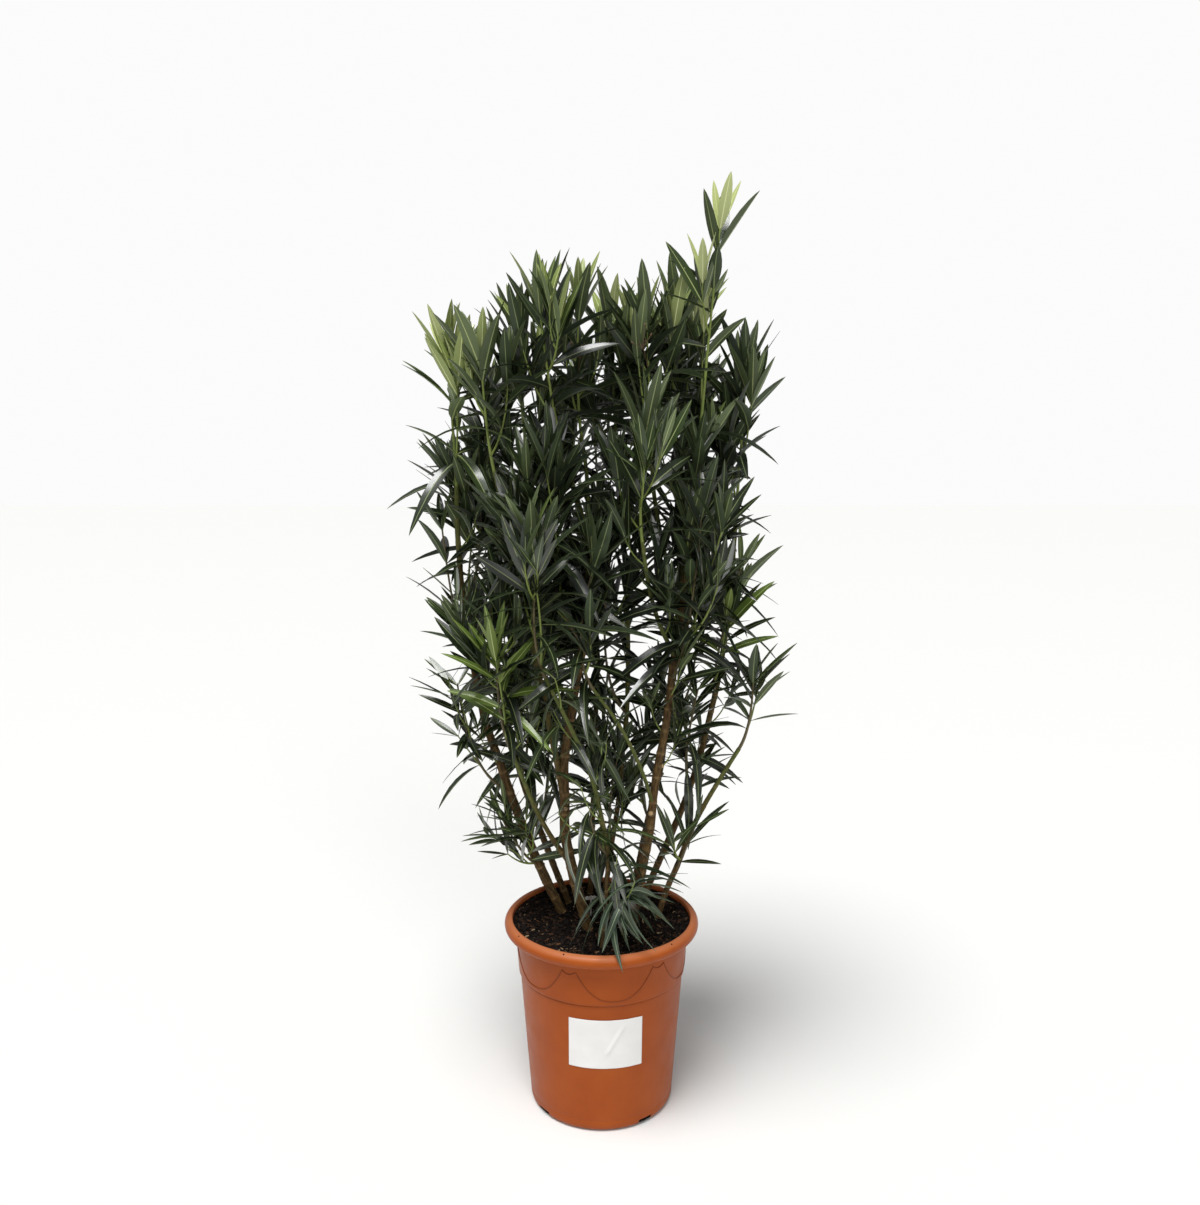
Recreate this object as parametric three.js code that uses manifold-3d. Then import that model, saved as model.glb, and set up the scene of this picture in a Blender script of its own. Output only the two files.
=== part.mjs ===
// A multi-stemmed oleander in a round terracotta-coloured plastic tub.
//
// Millimetres, +Z up. The origin is the centre of the tub's flat underside, the front faces -Y.
// Bare stems rise from the compost, boughs fork from them, and each foliage mass is one leafy
// shoot system: a leader with side shoots, carrying leaves in whorls of three. Every mass keeps to
// its own space, which is all that lies nearer its middle line than any other mass's.

import * as THREE from "three";
import { mergeVertices } from "three/addons/utils/BufferGeometryUtils.js";
import Module from "manifold-3d";

const wasm = await Module();
wasm.setup();

// ---------------------------------------------------------------- driving sizes

const CLEAR = 0.3; // gap kept between neighbouring solids
const FACETS = 44; // sides of the round tub
const ROLL_STEP = 45; // degrees between the corners of a rounding
const FILL_SLACK = 0.05; // added round the compost, because tub and compost are both faceted
const PAPER_SLACK = 0.02; // added behind the label

const TUB = {
  rimRadius: 200,
  height: 390,
  roll: 13.5, // radius of the rolled rim
  flareFoot: 352, // level where the inside of the wall begins to flare out to the rim
  flareTop: 378,
  flareRadius: 182.5, // inside radius at the flare's top
  topRadius: 175, // wall under the rim
  footRadius: 148, // wall just above the foot
  wall: 4.5,
  floor: 10,
  footRound: 13, // rounding of the bottom corner
  bandDepth: 85,
  bandStep: 2.8,
  notches: 4,
  firstNotch: -53, // bearing of the first notch, in degrees
  notchWidth: 30,
  notchHeight: 8,
  notchDepth: 8,
};
const COMPOST_LEVEL = 372;
const HEAP = { radius: 160, level: 382 }; // the compost is heaped against the rim beyond this radius
const LABEL = { width: 148, low: 142, high: 247, thickness: 0.5, azimuth: 3 };
const TAG = { foot: [-22, 24], peg: 36, pegWidth: 3, width: 24, height: 10, thickness: 1.2 };

const STEM_SIDES = 6;
const RING_SPACING = 72;
const STEM_FLARE = 0.85; // foot of a stem against its taper: stems narrow into the compost
const FLARE_HEIGHT = 45;
const CROOK = 2.4; // how far a limb strays from its even curve between nodes
const TAPER = 0.8; // power of the taper: below 1, most of it comes low down

const TWIG_RADIUS = 3.4;
const TWIG_TIP_RADIUS = 2.8;
const FORK_RADIUS = 1.2; // a side shoot's root, within its leader
const ROOT_SINK = 0.6; // how far past the middle of its twig a leaf is rooted
const SPACE_MARGIN = 1.6; // kept inside a mass's own space
const LIMB_MARGIN = 1.5; // kept between leaves and any limb
const OVERREACH = 14; // how far past its spread a mass may reach
const COMPOST_MARGIN = 3; // kept over the compost and over the rim
const RIM_MARGIN = 12; // kept from the rim's inner edge, where leaves hang lower than it
const OUTSIDE_MARGIN = 6; // kept from the rim's outer edge

// Stems: foot on the compost, tip, bow (sideways bulge at mid-length), sway (S-shaped bend) and
// radii at foot and tip. Boughs fork from the limb "on" at "at" of that limb's length.
const LIMBS = {
  stem_left: { foot: [-84, 46], tip: [-286, 8, 1270], bow: [-58, 0], radius: [11.5, 4.6] },
  stem_left_back: { foot: [-70, 92], tip: [-238, 150, 1130], bow: [-46, 10], radius: [8, 4.2] },
  stem_centre: {
    foot: [-28, -35], tip: [-78, -58, 1360],
    bow: [2, 0], sway: [-36, 0], radius: [12.5, 4.6],
  },
  stem_front: { foot: [1, -118], tip: [-104, -158, 920], bow: [52, 0], radius: [5.2, 3.6] },
  stem_back: { foot: [-25, 140], tip: [-8, 228, 1180], bow: [4, 30], radius: [7, 4.2] },
  stem_dark: { foot: [2, 98], tip: [34, 96, 1280], bow: [36, 0], radius: [6, 4.2] },
  stem_right: { foot: [62, -39], tip: [188, -27, 1350], bow: [10, 0], radius: [10, 5.2] },
  stem_right_outer: { foot: [84, 76], tip: [270, 42, 1210], bow: [48, 0], radius: [8, 4.4] },
  stem_far_right: { foot: [118, 20], tip: [280, 6, 740], bow: [-16, 0], radius: [7, 4.2] },
  stem_back_right: { foot: [62, 132], tip: [172, 214, 1120], bow: [30, 26], radius: [7.5, 4.2] },
  bough_left: { on: "stem_centre", at: 0.27, tip: [-204, -60, 1300], bow: [4, -12], radius: [6.4, 4] },
  bough_left_inner: { on: "bough_left", at: 0.66, tip: [-150, 10, 1350], bow: [6, 12], radius: [4.2, 3.6] },
  bough_left_low: {
    on: "stem_centre", at: 0.14, tip: [-178, -92, 770],
    bow: [-10, -8], radius: [5.6, 3.8],
  },
  bough_centre: { on: "stem_centre", at: 0.73, tip: [-40, 34, 1370], bow: [8, 14], radius: [4.8, 3.8] },
  bough_front: { on: "stem_right", at: 0.27, tip: [-16, -118, 890], bow: [18, -12], radius: [3.9, 3.3] },
  bough_front_right: {
    on: "stem_right", at: 0.58, tip: [76, -108, 1170],
    bow: [-14, -14], radius: [4.6, 3.8],
  },
  bough_inner_right: { on: "stem_right", at: 0.68, tip: [98, 4, 1350], bow: [-16, 6], radius: [4.8, 3.8] },
  bough_back_right: { on: "stem_right", at: 0.63, tip: [152, 92, 1350], bow: [10, 26], radius: [4.8, 3.8] },
};

// Foliage masses: each grows from a limb's tip, or from the side of a limb at "at" of its length,
// up to "top", where its furthest leaves reach. "spread" is its half-width, and "opening" the angle
// in degrees between leaf and shoot, from the lowest whorl to the tuft at the tip.
const MASSES = {
  leaves_left_top: { on: "stem_left", top: [-306, 0, 1625], spread: 78 },
  leaves_left_top_inner: { on: "bough_left", top: [-236, -66, 1612], spread: 90 },
  leaves_left_top_centre: { on: "bough_left_inner", top: [-170, 12, 1660], spread: 85 },
  leaves_centre_top_left: { on: "stem_centre", top: [-132, -62, 1712], spread: 95 },
  leaves_centre_top: { on: "bough_centre", top: [-46, 30, 1726], spread: 90 },
  leaves_centre_top_back: { on: "stem_dark", top: [14, 112, 1690], spread: 95 },
  leaves_inner_right_top: { on: "bough_inner_right", top: [80, -12, 1694], spread: 96 },
  leaves_back_right_top: { on: "bough_back_right", top: [152, 96, 1722], spread: 90 },
  leaves_crown_tip: { on: "stem_right", top: [232, -20, 1858], spread: 95 },
  leaves_right_top: { on: "stem_right_outer", top: [292, 36, 1612], spread: 66 },
  leaves_rear_left_top: { on: "stem_left_back", top: [-222, 158, 1560], spread: 105 },
  leaves_rear_top: { on: "stem_back", top: [-30, 236, 1610], spread: 110 },
  leaves_rear_right_top: { on: "stem_back_right", top: [182, 214, 1590], spread: 110 },
  leaves_left_mid: { on: "stem_left", at: 0.6, top: [-334, -14, 1290], spread: 92, opening: [84, 28] },
  leaves_left_upper_mid: { on: "stem_left", at: 0.74, top: [-236, 76, 1400], spread: 80 },
  leaves_left_front_mid: { on: "bough_left_low", top: [-190, -118, 1170], spread: 105 },
  leaves_front_left_mid: { on: "stem_front", top: [-110, -160, 1290], spread: 92 },
  leaves_centre_mid: { on: "stem_centre", at: 0.6, top: [-112, -96, 1440], spread: 80 },
  leaves_front_mid: { on: "bough_front", top: [-8, -122, 1250], spread: 90 },
  leaves_front_right_mid: { on: "bough_front_right", top: [86, -116, 1490], spread: 98 },
  leaves_right_front_mid: { on: "stem_right", at: 0.53, top: [204, -110, 1330], spread: 92 },
  leaves_right_upper_mid: { on: "stem_right_outer", at: 0.74, top: [246, 56, 1440], spread: 86 },
  leaves_right_mid: { on: "stem_right_outer", at: 0.56, top: [296, 10, 1210], spread: 82 },
  leaves_rear_left_mid: { on: "stem_left_back", at: 0.5, top: [-190, 226, 1180], spread: 105 },
  leaves_rear_mid: { on: "stem_back", at: 0.5, top: [-40, 290, 1200], spread: 105 },
  leaves_rear_right_mid: { on: "stem_back_right", at: 0.5, top: [220, 240, 1160], spread: 105 },
  leaves_inner_mid: { on: "stem_dark", at: 0.46, top: [14, 40, 1260], spread: 95 },
  leaves_left_low: { on: "stem_left", at: 0.3, top: [-330, 0, 960], spread: 88 },
  leaves_left_inner_low: { on: "stem_left_back", at: 0.36, top: [-158, 40, 1000], spread: 80 },
  leaves_left_foot: { on: "stem_left", at: 0.12, top: [-238, -26, 650], spread: 80, opening: [92, 35] },
  leaves_right_low: { on: "stem_far_right", top: [318, 0, 970], spread: 88 },
  leaves_right_front_low: { on: "stem_right_outer", at: 0.32, top: [196, -44, 960], spread: 90 },
  leaves_front_low: { on: "stem_front", at: 0.36, top: [-46, -170, 810], spread: 92 },
  leaves_inner_low: { on: "stem_dark", at: 0.16, top: [40, 60, 800], spread: 85 },
  leaves_front_tuft: { on: "stem_front", at: 0.1, top: [64, -112, 590], spread: 104, opening: [118, 60] },
  leaves_right_foot: { on: "stem_far_right", at: 0.3, top: [206, -50, 640], spread: 68, opening: [92, 35] },
  leaves_rear_left_low: { on: "stem_left_back", at: 0.22, top: [-116, 250, 850], spread: 105 },
  leaves_rear_right_low: { on: "stem_back_right", at: 0.22, top: [128, 280, 850], spread: 105 },
};

// Leaves: blades high in the crown are longer than those low down.
const LEAF = {
  lowLength: 118,
  highLength: 162,
  lowLevel: 500,
  highLevel: 1200,
  slimness: 4.7,
  waist: 0.44, // the widest place; this and the next three are parts of its length
  keel: 0.034, // thickness at the keel
  droop: 0.05, // how far the tip bends back
  neck: 0.14, // the stretch by the twig where leaves may meet
  short: 0.8, // a leaf that fits nowhere at its full length
  vary: [0.88, 1.06], // from leaf to leaf, by its length
};
const OPENING = [68, 15]; // degrees, where a mass states none
const OPENING_FALL = 1.6; // power of its fall along the shoot
const OPENING_VARY = [0.88, 1.15];
const WHORL_STRAY = 0.3; // radians that a leaf may stray from its even place in the whorl
const CLOSER = [1, 0.8, 0.6, 0.4, 1, 0.7, 0.5]; // openings tried for a leaf, by its own
const FULL_TRIES = 4; // of these, so many at full length
const TURNS = [0, 0.35, -0.35, 0.7, -0.7]; // radians that it is turned aside, tried in order

// The leader of a mass; lengths are parts of its straight stretch.
const LEADER = {
  tuft: 0.9, // reach of the tip leaves beyond its end, by a leaf's length
  tuftLimit: 0.45, // and at most, by the rise of the mass
  knee: 0.4, // where it bends
  aside: 0.3, // how far the bend stands off, where it leaves a limb's side
  back: 0.14, // and how far back it lies along the limb
  internode: 66, // between whorls
  whorled: 0.82, // the part of its length that has whorls
  whorls: [0.16, 0.98], // places of the first and last
};

// Side shoots, in parts of their own length unless said.
const SIDE_SHOOT = {
  count: 3,
  places: [0.12, 0.58], // of the first and last, along the leader
  length: [0.85, 1.05], // by the mass's spread
  firstTurn: 0.5, // radians
  turnEach: 2.4, // radians from one to the next
  turns: [0, 0.7, -0.7, 1.4, -1.4], // radians that it is turned aside, tried in order
  kneeOut: 0.42,
  kneeUp: 0.28,
  endOut: 0.6,
  endUp: 0.85,
  probes: [0.35, 0.55, 0.75, 1], // places that must lie clear
  whorl: 0.97, // place of its one whorl
};

const COLOURS = {
  tub: 0xa65528,
  compost: 0x1d1712,
  paper: 0xe4e3e1,
  tag: 0xd9d7d0,
  bark: 0x6b5238,
  leaf: 0x34452a,
  youngLeaf: 0x6f8a42,
};

// ---------------------------------------------------------------- small helpers

const UP = new THREE.Vector3(0, 0, 1);

/** A repeatable random number source (mulberry32), seeded from a name. */
function seeded(name) {
  let state = 2166136261;
  for (const letter of name) state = Math.imul(state ^ letter.charCodeAt(0), 16777619);
  return () => {
    state = (state + 0x6d2b79f5) | 0;
    let t = Math.imul(state ^ (state >>> 15), 1 | state);
    t = (t + Math.imul(t ^ (t >>> 7), 61 | t)) ^ t;
    return ((t ^ (t >>> 14)) >>> 0) / 4294967296;
  };
}

const mix = (a, b, t) => a + (b - a) * t;
const clamp01 = (t) => Math.min(1, Math.max(0, t));
const radians = (degrees) => (degrees * Math.PI) / 180;

/** A direction square to "axis", turned by "angle" about it. */
function sideways(axis, angle) {
  const start = Math.abs(axis.z) < 0.9 ? UP : new THREE.Vector3(1, 0, 0);
  const across = new THREE.Vector3().crossVectors(start, axis).normalize();
  return across.applyAxisAngle(axis, angle);
}

/** Merged, non-degenerate triangles of a three.js geometry as a manifold-3d solid. */
function toSolid(geometry) {
  const bare = geometry.clone();
  bare.deleteAttribute("normal");
  bare.deleteAttribute("uv");
  const merged = mergeVertices(bare, 1e-4);
  const triangles = [];
  for (let i = 0; i < merged.index.count; i += 3) {
    const [a, b, c] = [merged.index.getX(i), merged.index.getX(i + 1), merged.index.getX(i + 2)];
    if (a !== b && b !== c && c !== a) triangles.push(a, b, c);
  }
  const mesh = new wasm.Mesh({
    numProp: 3,
    vertProperties: new Float32Array(merged.attributes.position.array),
    triVerts: new Uint32Array(triangles),
  });
  return new wasm.Manifold(mesh);
}

/** A manifold-3d solid back as a three.js geometry; a loose scrap is dropped. */
function toGeometry(solid) {
  const largest = solid.decompose().sort((a, b) => b.volume() - a.volume())[0];
  const mesh = largest.getMesh();
  const geometry = new THREE.BufferGeometry();
  geometry.setAttribute("position", new THREE.BufferAttribute(new Float32Array(mesh.vertProperties), 3));
  geometry.setIndex(new THREE.BufferAttribute(new Uint32Array(mesh.triVerts), 1));
  geometry.computeVertexNormals();
  return geometry;
}

/** Closed geometry from rings of equal size, with a fan cap on each end. */
function ringsGeometry(rings) {
  const sides = rings[0].length;
  const positions = rings.flat().flatMap((p) => [p.x, p.y, p.z]);
  const index = [];
  for (let r = 0; r + 1 < rings.length; r += 1) {
    for (let s = 0; s < sides; s += 1) {
      const next = (s + 1) % sides;
      const [a, b] = [r * sides + s, r * sides + next];
      const [c, d] = [a + sides, b + sides];
      index.push(a, b, d, a, d, c);
    }
  }
  const last = (rings.length - 1) * sides;
  for (let s = 1; s + 1 < sides; s += 1) {
    index.push(0, s + 1, s);
    index.push(last, last + s, last + s + 1);
  }
  const geometry = new THREE.BufferGeometry();
  geometry.setAttribute("position", new THREE.Float32BufferAttribute(positions, 3));
  geometry.setIndex(index);
  geometry.computeVertexNormals();
  return geometry;
}

/** Tapering tube along points, its foot cut square to "footAxis"; the rings follow without twist. */
function taperedTube(points, radii, sides, footAxis = null) {
  let across = null;
  const rings = points.map((point, i) => {
    const before = points[Math.max(0, i - 1)];
    const after = points[Math.min(points.length - 1, i + 1)];
    const along = after.clone().sub(before).normalize();
    if (footAxis !== null && i === 0) along.copy(footAxis);
    if (across === null) across = sideways(along, 0);
    across = across.clone().addScaledVector(along, -across.dot(along)).normalize();
    const second = new THREE.Vector3().crossVectors(along, across);
    return Array.from({ length: sides }, (_, s) => {
      const angle = (2 * Math.PI * s) / sides;
      return point
        .clone()
        .addScaledVector(across, radii[i] * Math.cos(angle))
        .addScaledVector(second, radii[i] * Math.sin(angle));
    });
  });
  return ringsGeometry(rings);
}

/** Distance from a point to the stretch a-b, and how far along it the nearest place lies. */
function toStretch(point, a, b) {
  const along = b.clone().sub(a);
  const t = clamp01(point.clone().sub(a).dot(along) / along.lengthSq());
  return { distance: point.distanceTo(a.clone().addScaledVector(along, t)), t };
}

function named(name, geometry, colour, roughness) {
  const material = new THREE.MeshStandardMaterial({ color: colour, roughness, metalness: 0 });
  const mesh = new THREE.Mesh(geometry, material);
  mesh.name = name;
  return mesh;
}

// ---------------------------------------------------------------- tub, compost, label, tag

const lipLevel = TUB.height - 2 * TUB.roll;

/** Outer radius of the plain tapering wall at a height. */
function wallRadius(z) {
  return mix(TUB.footRadius, TUB.topRadius, (z - TUB.footRound) / (lipLevel - TUB.footRound));
}

/** Inner radius of the wall at a height. */
function innerRadius(z) {
  return wallRadius(z) - TUB.wall;
}

/** Inner radius of the tub at a height, up the wall and the flare inside the rim. */
function insideRadius(z) {
  const crest = TUB.rimRadius - TUB.roll;
  const { flareFoot, flareTop, flareRadius, height } = TUB;
  if (z <= flareFoot) return innerRadius(z);
  if (z >= flareTop) return mix(flareRadius, crest, (z - flareTop) / (height - flareTop));
  return mix(innerRadius(flareFoot), flareRadius, (z - flareFoot) / (flareTop - flareFoot));
}

/** The tub turned from its half-section, with drainage notches cut in the bottom corner. */
function tub() {
  const profile = [[0, 0]];
  for (let angle = -90; angle <= 0; angle += ROLL_STEP) {
    const r = TUB.footRadius - TUB.footRound + TUB.footRound * Math.cos(radians(angle));
    profile.push([r, TUB.footRound + TUB.footRound * Math.sin(radians(angle))]);
  }
  const bandFoot = lipLevel - TUB.bandDepth;
  profile.push([wallRadius(bandFoot), bandFoot]);
  profile.push([wallRadius(bandFoot) + TUB.bandStep, bandFoot + TUB.bandStep]);
  profile.push([wallRadius(lipLevel) + TUB.bandStep, lipLevel]);
  const rollRadius = TUB.rimRadius - TUB.roll;
  const rollLevel = TUB.height - TUB.roll;
  for (let angle = -90; angle <= 90; angle += ROLL_STEP) {
    profile.push([
      rollRadius + TUB.roll * Math.cos(radians(angle)),
      rollLevel + TUB.roll * Math.sin(radians(angle)),
    ]);
  }
  for (const level of [TUB.flareTop, TUB.flareFoot, TUB.floor]) profile.push([insideRadius(level), level]);
  profile.push([0, TUB.floor]);
  const points = profile.map(([r, z]) => new THREE.Vector2(r, z));
  const body = new THREE.LatheGeometry(points, FACETS).rotateX(Math.PI / 2);
  const cutters = Array.from({ length: TUB.notches }, (_, i) => {
    const box = new THREE.BoxGeometry(2 * TUB.notchDepth, TUB.notchWidth, 2 * TUB.notchHeight);
    box.translate(TUB.footRadius + 1, 0, 0);
    return toSolid(box.rotateZ(radians(TUB.firstNotch + (360 * i) / TUB.notches)));
  });
  return toGeometry(toSolid(body).subtract(wasm.Manifold.union(cutters)));
}

/** The compost fills the tub from its floor to its level, and is heaped up a little at the rim. */
function compost() {
  const low = TUB.floor + CLEAR;
  const profile = [
    [0, low],
    ...[low, TUB.flareFoot, HEAP.level].map((z) => [insideRadius(z) - CLEAR - FILL_SLACK, z]),
    [HEAP.radius, COMPOST_LEVEL],
    [0, COMPOST_LEVEL],
  ];
  const points = profile.map(([r, z]) => new THREE.Vector2(r, z));
  return new THREE.LatheGeometry(points, FACETS).rotateX(Math.PI / 2);
}

/** A blank sheet of paper wrapped on the front of the wall, bent at each of the wall's facets. */
function label() {
  const step = (2 * Math.PI) / FACETS;
  const middle = radians(-90 + LABEL.azimuth);
  const half = LABEL.width / 2 / wallRadius((LABEL.low + LABEL.high) / 2);
  const angles = [middle - half];
  for (let k = Math.ceil((middle - half) / step); k * step < middle + half; k += 1) angles.push(k * step);
  angles.push(middle + half);
  const flat = (angle) => Math.cos(step / 2) / Math.cos(angle - step * (Math.floor(angle / step) + 0.5));
  const place = (angle, z, out) => {
    const corner = angles.slice(1, -1).some((edge) => Math.abs(edge - angle) < 1e-9);
    const r = (wallRadius(z) + out) * (corner ? 1 : flat(angle));
    return new THREE.Vector3(r * Math.cos(angle), r * Math.sin(angle), z);
  };
  const near = CLEAR + PAPER_SLACK;
  const rings = angles.map((angle) => [
    place(angle, LABEL.low, near),
    place(angle, LABEL.low, near + LABEL.thickness),
    place(angle, LABEL.high, near + LABEL.thickness),
    place(angle, LABEL.high, near),
  ]);
  return ringsGeometry(rings.reverse());
}

/** A small torn plant tag on a thin peg that stands on the compost. */
function tag() {
  const [w, h, p] = [TAG.width / 2, TAG.height, TAG.pegWidth / 2];
  const outline = new THREE.Shape();
  outline.moveTo(-p, 0);
  outline.lineTo(p, 0);
  outline.lineTo(p, TAG.peg);
  outline.lineTo(w, TAG.peg + h * 0.2);
  outline.lineTo(w * 0.9, TAG.peg + h);
  outline.lineTo(-w * 0.3, TAG.peg + h * 0.8);
  outline.lineTo(-w, TAG.peg + h * 1.1);
  outline.lineTo(-w * 0.9, TAG.peg);
  outline.lineTo(-p, TAG.peg);
  const plate = new THREE.ExtrudeGeometry(outline, { depth: TAG.thickness, bevelEnabled: false });
  plate.rotateX(Math.PI / 2);
  return plate.translate(TAG.foot[0], TAG.foot[1], COMPOST_LEVEL + CLEAR);
}

// ---------------------------------------------------------------- limbs

/** Middle line and radii of a limb, from where it starts to its tip. */
function limbLine(name) {
  const limb = LIMBS[name];
  const random = seeded(name);
  const foot = () => new THREE.Vector3(...limb.foot, COMPOST_LEVEL + CLEAR);
  const start = limb.on ? alongLine(lines[limb.on], limb.at).point : foot();
  const tip = new THREE.Vector3(...limb.tip);
  const count = Math.max(3, Math.round(start.distanceTo(tip) / RING_SPACING));
  const [bow, sway] = [limb.bow ?? [0, 0], limb.sway ?? [0, 0]];
  const points = [];
  const radii = [];
  for (let i = 0; i <= count; i += 1) {
    const t = i / count;
    const bulge = Math.sin(Math.PI * t);
    const bend = Math.sin(2 * Math.PI * t);
    const crook = i === 0 || i === count ? 0 : CROOK;
    const point = start.clone().lerp(tip, t);
    point.x += bow[0] * bulge + sway[0] * bend + crook * (random() - 0.5) * 2;
    point.y += bow[1] * bulge + sway[1] * bend + crook * (random() - 0.5) * 2;
    points.push(point);
    const flare = limb.on ? 1 : 1 + (STEM_FLARE - 1) * Math.exp(-(point.z - COMPOST_LEVEL) / FLARE_HEIGHT);
    radii.push(mix(limb.radius[0], limb.radius[1], t ** TAPER) * flare);
  }
  return { points, radii };
}

/** Point, direction and radius of a line at a fraction of its length. */
function alongLine(line, fraction) {
  const last = line.points.length - 1;
  const place = clamp01(fraction) * last;
  const i = Math.min(last - 1, Math.floor(place));
  const point = line.points[i].clone().lerp(line.points[i + 1], place - i);
  const along = line.points[i + 1].clone().sub(line.points[i]).normalize();
  return { point, along, radius: mix(line.radii[i], line.radii[i + 1], place - i) };
}

const lines = {};
for (const name of Object.keys(LIMBS)) lines[name] = limbLine(name);

/** A limb's tube, grown by "extra" all round, as a solid. */
function limbTube(name, extra = 0) {
  const { points, radii } = lines[name];
  return taperedTube(points, radii.map((r) => r + extra), STEM_SIDES, LIMBS[name].on ? null : UP);
}

const limbShells = Object.keys(LIMBS).map((name) => toSolid(limbTube(name, LIMB_MARGIN)));

/** A limb; a bough's foot is cut to a saddle that fits the limb it forks from. */
function limbGeometry(name) {
  const parent = LIMBS[name].on;
  if (!parent) return limbTube(name);
  return toGeometry(toSolid(limbTube(name)).subtract(toSolid(limbTube(parent, CLEAR))));
}

// ---------------------------------------------------------------- foliage masses

/** Where a mass starts, and its leader's line up to where the tip leaves spring. */
function massFrame(name) {
  const mass = MASSES[name];
  const fromTip = mass.at === undefined;
  const root = alongLine(lines[mass.on], fromTip ? 1 : mass.at);
  const top = new THREE.Vector3(...mass.top);
  const start = root.point.clone().addScaledVector(root.along, fromTip ? CLEAR : 0);
  const rise = top.clone().sub(start);
  const tuft = Math.min(leafLength(top.z) * LEADER.tuft, rise.length() * LEADER.tuftLimit);
  const end = top.clone().addScaledVector(rise.clone().normalize(), -tuft);
  const stretch = start.distanceTo(end);
  const knee = start.clone().addScaledVector(root.along, stretch * LEADER.knee);
  if (!fromTip) {
    const aside = rise.clone().addScaledVector(root.along, -rise.dot(root.along)).normalize();
    knee.addScaledVector(aside, stretch * LEADER.aside);
    knee.addScaledVector(root.along, -stretch * LEADER.back);
  }
  const curve = new THREE.QuadraticBezierCurve3(start, knee, end);
  return { ...mass, name, fromTip, start, end, top, curve };
}

function leafLength(level) {
  const t = clamp01((level - LEAF.lowLevel) / (LEAF.highLevel - LEAF.lowLevel));
  return mix(LEAF.lowLength, LEAF.highLength, t);
}

const frames = Object.keys(MASSES).map(massFrame);

/** How far outside a mass's spread a point lies, measured from its middle line. */
function beyond(frame, point) {
  const middle = frame.curve.getPoint(0.5);
  const stretches = [
    [frame.start, middle],
    [middle, frame.end],
    [frame.end, frame.top],
  ];
  return Math.min(...stretches.map(([a, b]) => toStretch(point, a, b).distance)) - frame.spread;
}

/** True where a point lies in the mass's own space, above the compost and clear of the rim. */
function inOwnSpace(frame, point) {
  const own = beyond(frame, point) + SPACE_MARGIN;
  if (own > OVERREACH || point.z > frame.top.z) return false;
  if (frames.some((other) => other !== frame && beyond(other, point) - SPACE_MARGIN < own)) return false;
  const fromAxis = Math.hypot(point.x, point.y);
  const overCompost = fromAxis < TUB.rimRadius - 2 * TUB.roll - RIM_MARGIN;
  const above = point.z > (overCompost ? COMPOST_LEVEL : TUB.height) + COMPOST_MARGIN;
  return above || fromAxis > TUB.rimRadius + OUTSIDE_MARGIN;
}

/** True where a point keeps clear of every limb, by the width given. */
function clearOfLimbs(point, width) {
  return Object.values(lines).every(({ points, radii }) =>
    points.slice(1).every((end, i) => {
      const { distance, t } = toStretch(point, points[i], end);
      return distance > mix(radii[i], radii[i + 1], t) + width + LIMB_MARGIN;
    }),
  );
}

/** The corners of a leaf: its root, its tip and a waist of two margins and a keel. */
function leafCorners(root, heading, back, length) {
  const across = new THREE.Vector3().crossVectors(heading, back).normalize();
  const half = length / LEAF.slimness / 2;
  const waist = root.clone().addScaledVector(heading, length * LEAF.waist);
  return {
    root: root.clone().addScaledVector(heading, -ROOT_SINK),
    tip: root.clone().addScaledVector(heading, length).addScaledVector(back, -length * LEAF.droop),
    left: waist.clone().addScaledVector(across, half),
    right: waist.clone().addScaledVector(across, -half),
    keel: waist.clone().addScaledVector(back, -length * LEAF.keel),
  };
}

/** Closed six-faced geometry of a leaf, flat above and keeled below. */
function leafGeometry({ root, tip, left, right, keel }) {
  const positions = [root, tip, left, right, keel].flatMap((p) => [p.x, p.y, p.z]);
  const geometry = new THREE.BufferGeometry();
  geometry.setAttribute("position", new THREE.Float32BufferAttribute(positions, 3));
  geometry.setIndex([0, 2, 3, 0, 4, 2, 0, 3, 4, 1, 3, 2, 1, 2, 4, 1, 4, 3]);
  return geometry;
}

/** Test points all over a leaf, past the part that is sunk in its twig. */
function leafProbes({ root, tip, left, right, keel }) {
  const probes = [tip];
  const across = [left, left.clone().lerp(keel, 0.5), keel, right.clone().lerp(keel, 0.5), right];
  for (const place of across) {
    probes.push(place);
    for (const t of [0.2, 0.4, 0.6, 0.8]) {
      probes.push(root.clone().lerp(place, t), place.clone().lerp(tip, t));
    }
  }
  return probes;
}

/** A shoot: its line, its closed tube and the whorls it carries. */
function shoot(curve, radii, places, turn, opening = OPENING) {
  const points = curve.getPoints(radii.length - 1);
  const tube = toSolid(taperedTube(points, radii, 3, curve.getTangent(0)));
  const whorls = places.map((place, i) => ({
    ...alongLine({ points, radii }, place),
    opening: mix(opening[0], opening[1], place ** OPENING_FALL),
    turn: turn + (i * Math.PI) / 3,
  }));
  return { line: { points, radii }, tube, whorls };
}

/** The leader of a mass, along its middle line. */
function leaderShoot(frame, turn) {
  const whorled = frame.curve.getLength() * LEADER.whorled;
  const count = Math.max(2, Math.round(whorled / LEADER.internode) + 1);
  const places = Array.from({ length: count }, (_, i) => mix(...LEADER.whorls, i / (count - 1)));
  const radii = [TWIG_RADIUS, TWIG_RADIUS, TWIG_TIP_RADIUS, TWIG_TIP_RADIUS];
  return shoot(frame.curve, radii, places, turn, frame.opening);
}

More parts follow.
